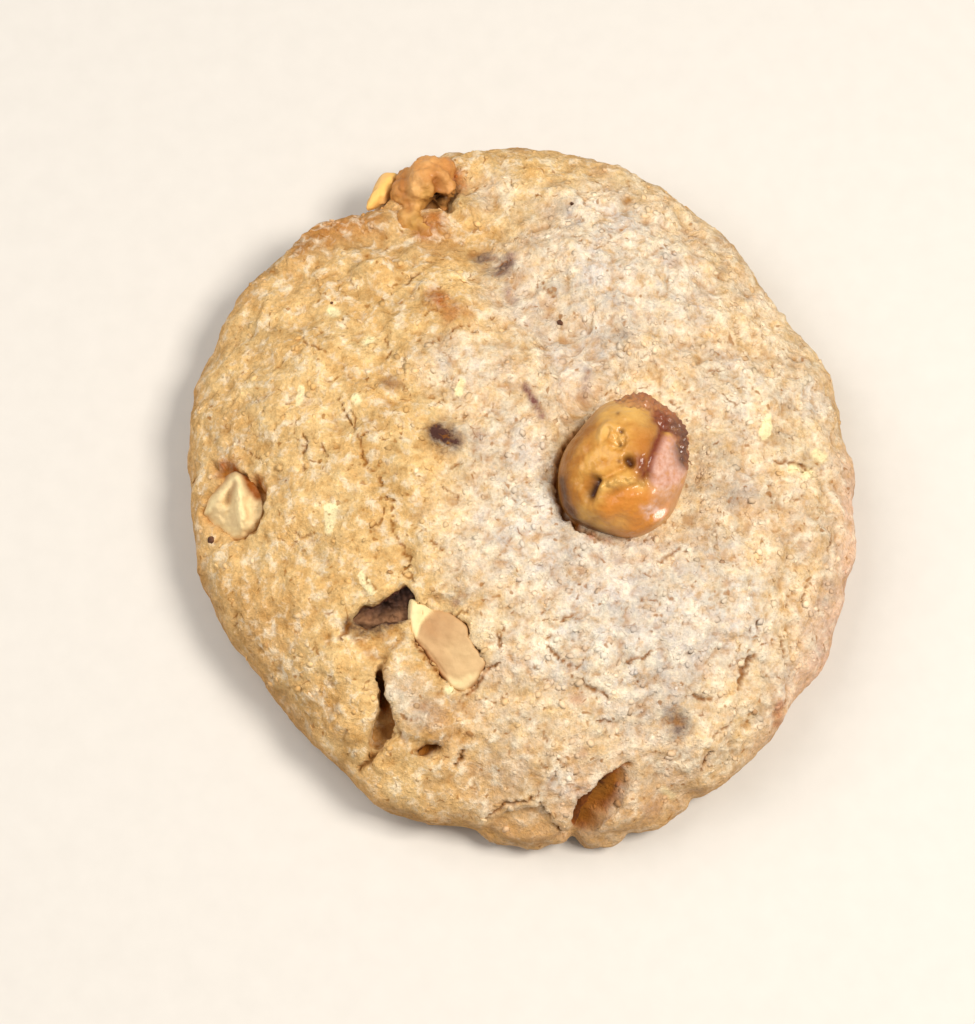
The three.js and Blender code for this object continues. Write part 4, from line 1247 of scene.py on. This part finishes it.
def makeHazelnut():
    # amber skin with a dull sugar gloss, burnt bubbly caramel on one side
    material = nutMaterial("roasted_hazelnut_sugar_glaze", hazelnut["base"], hazelnut["colors"],
                           mottle=1.6, rough=0.5, coat=0.45, relief=0.8)
    piece = nutBlank("hazelnut_roasted", "hazelnut", hazelnut["levels"], hazelnut["edge"])
    mesh = piece.data
    skin = skinOf(piece)
    points = pointsOf(mesh)
    normals = normalsOf(mesh)
    pixels = pixelsOf(points)
    facing = (normals * sightOf(points)).sum(1)
    front = ramp(-0.1, 0.2, facing)
    lift = ramp(0.0, 0.6, facing) * wavesOf(points, hazelnut["waves"])
    lift += ramp(0.1, 0.5, facing) * reliefOf(pixels, hazelnut["relief"])
    crater = front * coverOf(pixels, hazelnut["crater"])
    lift += crater * (0.45 * unevenness(points, 0.5, 2, 3.0) - 0.15)
    crust = ramp(-0.5, -0.1, facing) * strokeMask(pixels, hazelnut["crust"])
    crust *= ramp(-0.5, 0.1, unevenness(points, 0.9, 2, 6.0) + 2 * crust - 1)
    lift += crust * (0.15 - 0.5 * bubbles(points, 0.7) + 0.25 * unevenness(points, 0.45, 2, 8.0))
    paint(mesh, pixels, front, hazelnut["paint"])
    storeMask(mesh, "crust", crust)
    points = points + lift[:, None] * normals
    lean = np.array(hazelnut["glintLean"])
    for pixel, radius, rise in hazelnut["glints"]:
        spot = photoSpot(skin, pixel)
        near = np.exp(-(np.linalg.norm(points - spot, axis=1) / radius) ** 4)
        points += (near * ((spot + rise * lean - points) @ lean))[:, None] * lean
    movePoints(mesh, points)
    mesh.materials.append(material)
    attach(piece, "root")
    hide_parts("hazelnut")
    print("hazelnut:", len(mesh.polygons), "faces")


makeHazelnut()

peanutBase = ("#B89266", "#CAA678")
# brown roast, and painted shade in creases, hollows, gaps and a small hole
peanutColors = (("cream", "#F0DAA6", 0.8), ("gold", "#F2C06C", 0.4), ("brownAndShade", "#8E4E14", 0.6))
peanuts = {
    "peanut_rim": {
        "piece": "peanut_rim_split",
        "edge": rimPeanutEdge,
        "rise": 0.3,  # over the crust
        "bulge": 4.0,  # higher is flatter on top
        "crumble": 0.3,
        "crumbleSize": 0.9,
        "relief": [("line", 0.65, 0.95, [(238, 476), (240, 492), (240, 508), (243, 526)]),
            ("line", 0.6, 0.7, [(232, 478), (217, 496), (203, 514)]),
            ("line", 0.28, -0.6, [(234, 482), (230, 493), (227, 503)]),
            ("line", 0.7, -0.5, [(253, 488), (256, 500), (254, 514)]),
            ("area", 1.6, -0.12, [(206, 524), (224, 520), (250, 524), (250, 545), (214, 540)])],
        "paint": {"cream": [("area", 1.0, 0.6, rimPeanutEdge),
                ("line", 0.8, 0.95, [(238, 478), (240, 492), (240, 508), (243, 526)]),
                ("line", 0.7, 0.85, [(232, 480), (217, 496), (204, 513)]),
                ("line", 0.9, 0.9, [(214, 523), (228, 530), (240, 533)])],
            # painted shade in the crease, the hollows at the upper corners and the small hole near the foot
            "brownAndShade": [("line", 0.3, 0.45, [(235, 484), (231, 493), (229, 501)]),
                ("area", 0.7, 1.0, [(240, 472), (252, 474), (263, 488), (264, 502), (255, 500),
                (247, 489)]), ("line", 0.5, 0.7, [(213, 488), (224, 477)]),
                ("line", 0.35, 0.9, [(251, 537)])]},
    },
    "peanut_flat": {
        "piece": "peanut_flat_half",
        "edge": flatPeanutEdge,
        "rise": 0.05,
        "bulge": 25.0,
        "crumble": 0.2,
        "crumbleSize": 1.8,
        "relief": [("area", 0.3, -0.5, [(400, 590), (420, 600), (434, 609), (421, 624), (417, 639),
                (400, 640)]),
            ("area", 0.8, -0.25, [(449, 676), (459, 678), (470, 672), (482, 672), (486, 690), (466, 702),
                (446, 690)]),
            ("area", 0.3, -0.3, [(417, 639), (427, 648), (437, 661), (447, 675), (436, 676), (408, 642)])],
        "paint": {"cream": [("area", 0.3, 0.95, [(400, 590), (420, 599), (434, 609), (421, 624), (417, 639),
                (400, 640)]),
                ("area", 0.9, 0.6, [(449, 676), (459, 678), (470, 672), (482, 672), (486, 690), (466, 702),
                (446, 690)]),
                ("area", 2.5, 0.2, [(445, 645), (470, 640), (490, 664), (470, 690), (448, 680)])],
            "brownAndShade": [("line", 0.3, 0.85, [(414, 641), (424, 652), (435, 667), (445, 682)]),
                ("line", 0.3, 0.8, [(488, 666), (482, 676), (466, 695), (456, 692)]),
                ("line", 1.2, 0.25, [(440, 616), (432, 628)])]},
    },
    "peanut_edge": {
        "piece": "peanut_edge_sliver",
        "edge": [(398, 171), (396, 182), (389, 195), (379, 207), (366, 213), (367, 206), (374, 192),
            (384, 180), (392, 173)],
        "levels": 2,
        "thin": 0.6,
        "paint": {"gold": [("line", 0.9, 1.0, [(394, 176), (380, 194), (370, 208)])],
            "brownAndShade": [("line", 0.3, 0.3, [(397, 184), (390, 197), (378, 210)])]},
    },
}


# a patch over the crust within an outline; its edge sinks in and a skirt goes down from it
def embeddedPiece(look, rings=24, spokes=120, sink=1.2, skirtDepth=1.6):
    edge = np.array(look["edge"], float)
    middle = edge.mean(0)
    away = edge - middle
    turn = np.arctan2(away[:, 1], away[:, 0])
    order = np.argsort(turn)
    angles = np.linspace(-math.pi, math.pi, spokes, endpoint=False)
    reach = np.interp(angles, turn[order], np.hypot(*away.T)[order], period=2 * math.pi)
    ray = np.stack([np.cos(angles), np.sin(angles)], 1) * reach[:, None]
    share = np.repeat(np.arange(1, rings + 1) / rings, spokes)
    pixels = np.concatenate([middle[None], middle + np.tile(ray, (rings, 1)) * share[:, None]])
    share = np.concatenate([[0.0], share])
    spots = spotsOn(crustSkin, pixels)
    height = look["rise"] - (look["rise"] + sink) * share ** look["bulge"]
    height += (1 - share ** 4) * reliefOf(pixels, look["relief"])
    height += look["crumble"] * unevenness(spots, look["crumbleSize"], 3, 7.0)
    tops = spots + sightOf(spots) * height[:, None]
    skirt = tops[-spokes:] - skirtDepth * up
    points = np.concatenate([tops, skirt, skirt.mean(0)[None]])
    after = [(i + 1) % spokes for i in range(spokes)]
    faces = [(0, 1 + i, 1 + after[i]) for i in range(spokes)]
    for ring in range(rings):
        start = 1 + ring * spokes
        below = start + spokes
        faces += [(start + i, below + i, below + after[i], start + after[i]) for i in range(spokes)]
    last = len(points) - 1
    faces += [(last, last - spokes + after[i], last - spokes + i) for i in range(spokes)]
    piece = meshPiece(look["piece"], points * mm, [face[::-1] for face in faces])
    piece.data.shade_smooth()
    return piece


def makePeanuts():
    # waxy cream flesh with a tan roast
    material = nutMaterial("roasted_blanched_peanut", peanutBase, peanutColors,
                           mottle=2.5, rough=0.6, coat=0.0, relief=0.6)
    for node, look in peanuts.items():
        if "thin" in look:
            piece = nutBlank(look["piece"], node, look["levels"], look["edge"])
            points = pointsOf(piece.data)
            middle = (points[:, 2].min() + points[:, 2].max()) / 2
            points[:, 2] = middle + (points[:, 2] - middle) * look["thin"]
            movePoints(piece.data, points)
        else:
            piece = embeddedPiece(look)
        mesh = piece.data
        paint(mesh, pixelsOf(pointsOf(mesh)), 1.0, look["paint"])
        mesh.materials.append(material)
        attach(piece, "root")
        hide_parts(node)
    print("peanuts:", len(peanuts), "pieces")


makePeanuts()

holeEdge = [(428, 213), (432, 201), (440, 197), (447, 199), (456, 190), (458, 197), (451, 204), (442, 207),
    (434, 214)]
caramel = {
    "base": ("#A86C30", "#D29C58"),
    "colors": (("yellow", "#C69A50", 1.4), ("orange", "#C68446", 1.2), ("sand", "#DCA868", 1.8),
        ("foldShade", "#94561A", 0.9), ("pitAndShade", "#3A1A04", 0.4)),
    "voxel": 0.2,
    "smoothing": 7,
    "waves": ((0.2, 1.4, 3, 2.0), (0.16, 0.6, 3, 3.0)),
    "shrink": 0.85,  # of the plain solid inside the folds
    "lumps": [((410, 192), 1.9, -1.4), ((425, 186), 2.0, -1.4), ((418, 208), 1.9, -1.3),
        ((428, 172), 1.7, -1.4), ((409, 182), 1.4, -1.2), ((442, 172), 1.5, -1.2), ((413, 222), 1.7, -1.2),
        ((404, 202), 1.5, -1.2), ((420, 226), 1.3, -1.1), ((426, 233), 1.1, -1.0), ((430, 176), 0.9, -0.3),
        ((437, 175), 0.85, -0.1), ((443, 179), 0.8, 0.1), ((448, 185), 0.75, 0.2), ((449, 192), 0.65, 0.2)],
    "relief": [("area", 0.5, -1.6, holeEdge), ("line", 0.45, -0.5, [(437, 181), (440, 188), (438, 196)]),
        ("line", 0.6, -0.35, [(403, 176), (400, 190), (408, 206)]),
        ("line", 0.6, -0.3, [(414, 178), (424, 196), (428, 212)])],
    "paint": {"yellow": [("area", 2.0, 0.8, [(408, 186), (430, 186), (436, 200), (428, 232), (412, 236),
            (402, 215)])], "orange": [("line", 1.4, 0.7, [(398, 176), (428, 160), (446, 162)]),
            ("line", 0.8, 0.6, [(430, 174), (444, 178), (449, 190)])],
        "sand": [("line", 0.9, 0.85, [(410, 173), (415, 186), (412, 200), (409, 208)]),
            ("line", 0.7, 0.6, [(424, 164), (432, 160)]), ("line", 0.6, 0.6, [(443, 178), (446, 188)])],
        # painted shade in the creases between the lumps and in the hole
        "foldShade": [("line", 0.5, 0.8, [(437, 180), (440, 188), (438, 196)]),
            ("line", 0.6, 0.6, [(420, 229), (427, 235)]),
            ("line", 0.6, 0.6, [(403, 172), (400, 190), (408, 206)]),
            ("line", 0.8, 0.7, [(426, 214), (434, 206)])], "pitAndShade": [("area", 0.7, 1.0, holeEdge)]},
}


def makeCaramelNut():
    # orange-brown cooked sugar over a pale nut, dull gloss
    material = nutMaterial("caramelised_nut", caramel["base"], caramel["colors"],
                           mottle=1.1, rough=0.55, coat=0.1, relief=0.9)
    piece = nodeCopy("caramel_nut_folded", "caramel_nut")
    skin = skinOf(piece)
    shape = openMesh(piece)
    middle = sum((v.co for v in shape.verts), Vector()) / len(shape.verts)
    for v in shape.verts:
        v.co = middle + (v.co - middle) * caramel["shrink"]
    for pixel, radius, lift in caramel["lumps"]:
        ball = bmesh.ops.create_icosphere(shape, subdivisions=3, radius=radius * mm)["verts"]
        spot = photoSpot(skin, pixel)
        if np.abs(pixelsOf(spot[None])[0] - pixel).max() > 1:  # past the solid, on the crust
            spot = photoSpot(crustSkin, pixel)
        spot = spot + lift * sightOf(spot[None])[0]
        bmesh.ops.translate(shape, verts=ball, vec=Vector(spot) * mm)
    closeMesh(shape, piece)
    addVoxels(piece, caramel["voxel"])
    addSmoothing(piece, caramel["smoothing"])
    settle(piece)
    mesh = piece.data
    points = pointsOf(mesh)
    normals = normalsOf(mesh)
    pixels = pixelsOf(points)
    front = ramp(-0.1, 0.2, (normals * sightOf(points)).sum(1))
    lift = wavesOf(points, caramel["waves"])
    lift += front * reliefOf(pixels, caramel["relief"])
    paint(mesh, pixels, front, caramel["paint"])
    movePoints(mesh, points + lift[:, None] * normals)
    mesh.shade_smooth()
    mesh.materials.append(material)
    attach(piece, "root")
    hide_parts("caramel_nut")
    print("caramel nut:", len(mesh.polygons), "faces")


makeCaramelNut()

chocolate = {
    "piece": "chocolate_chunk_baked",
    "base": ("#2E1810", "#6B4632"),
    "colors": (("bloomAndLight", "#8A6446", 2.4), ("shadow", "#22100A", 1.0)),
    "edge": [(350, 622), (358, 602), (371, 601), (385, 595), (395, 587), (401, 580), (409, 577), (420, 596),
        (418, 606), (415, 622), (398, 624), (384, 627), (368, 630)],
    "rise": -1.3,  # under the crust
    "bulge": 30.0,
    "crumble": 0.5,
    "crumbleSize": 0.8,
    "relief": [("line", 0.8, 1.0, [(354, 622), (370, 626), (386, 622)])],
    # paler bloom and painted light along the lower edge
    "paint": {"bloomAndLight": [("line", 0.9, 0.9, [(352, 620), (368, 624), (386, 620), (400, 617)])],
        "shadow": [("line", 1.2, 0.8, [(385, 604), (400, 596), (408, 592)])]},
}


def makeChocolate():
    # dull dark brown, bloomed and crumbly, with painted light along the lower edge and painted shadow under
    # the upper lip
    material = nutMaterial("baked_chocolate", chocolate["base"], chocolate["colors"],
                           mottle=0.7, rough=0.7, coat=0.0, relief=0.8)
    piece = embeddedPiece(chocolate)
    mesh = piece.data
    paint(mesh, pixelsOf(pointsOf(mesh)), 1.0, chocolate["paint"])
    mesh.materials.append(material)
    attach(piece, "root")
    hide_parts("chocolate_chunk")
    print("chocolate:", len(mesh.polygons), "faces")
    return material


chocolateMaterial = makeChocolate()

cocoaSpecks = {
    "seed": 22,
    "thickness": 0.22,
    # pixel, length, width and turn in degrees of each speck
    "places": [((560, 323), 0.8, 0.6, 45), ((211, 540), 0.85, 0.75, 50), ((572, 204), 0.6, 0.45, 10),
        ((332, 303), 0.4, 0.3, 0)],
}


def makeSpecks():
    dice = np.random.default_rng(cocoaSpecks["seed"])
    skin = skinOf(doughPiece)
    shape = bmesh.new()
    for pixel, length, width, turn in cocoaSpecks["places"]:
        spot = photoSpot(skin, pixel)
        normal = skin.find_nearest(Vector(spot) * mm)[1]
        spin = math.radians(turn)
        along = np.array((math.cos(spin), -math.sin(spin), 0))
        across = np.array((math.sin(spin), math.cos(spin), 0))
        for v in bmesh.ops.create_icosphere(shape, subdivisions=2, radius=1.0)["verts"]:
            x, y, z = np.array(v.co) * dice.uniform(0.7, 1.15)
            flat = along * x * length / 2 + across * y * width / 2
            rise = cocoaSpecks["thickness"] * z - flat @ np.array(normal)
            v.co = (Vector(spot) + Vector(flat) + normal * rise) * mm
    piece = meshPiece("cocoa_specks", [], [])
    closeMesh(shape, piece)
    piece.data.shade_smooth()
    piece.data.materials.append(chocolateMaterial)
    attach(piece, "root")
    print("specks:", len(cocoaSpecks["places"]))


makeSpecks()
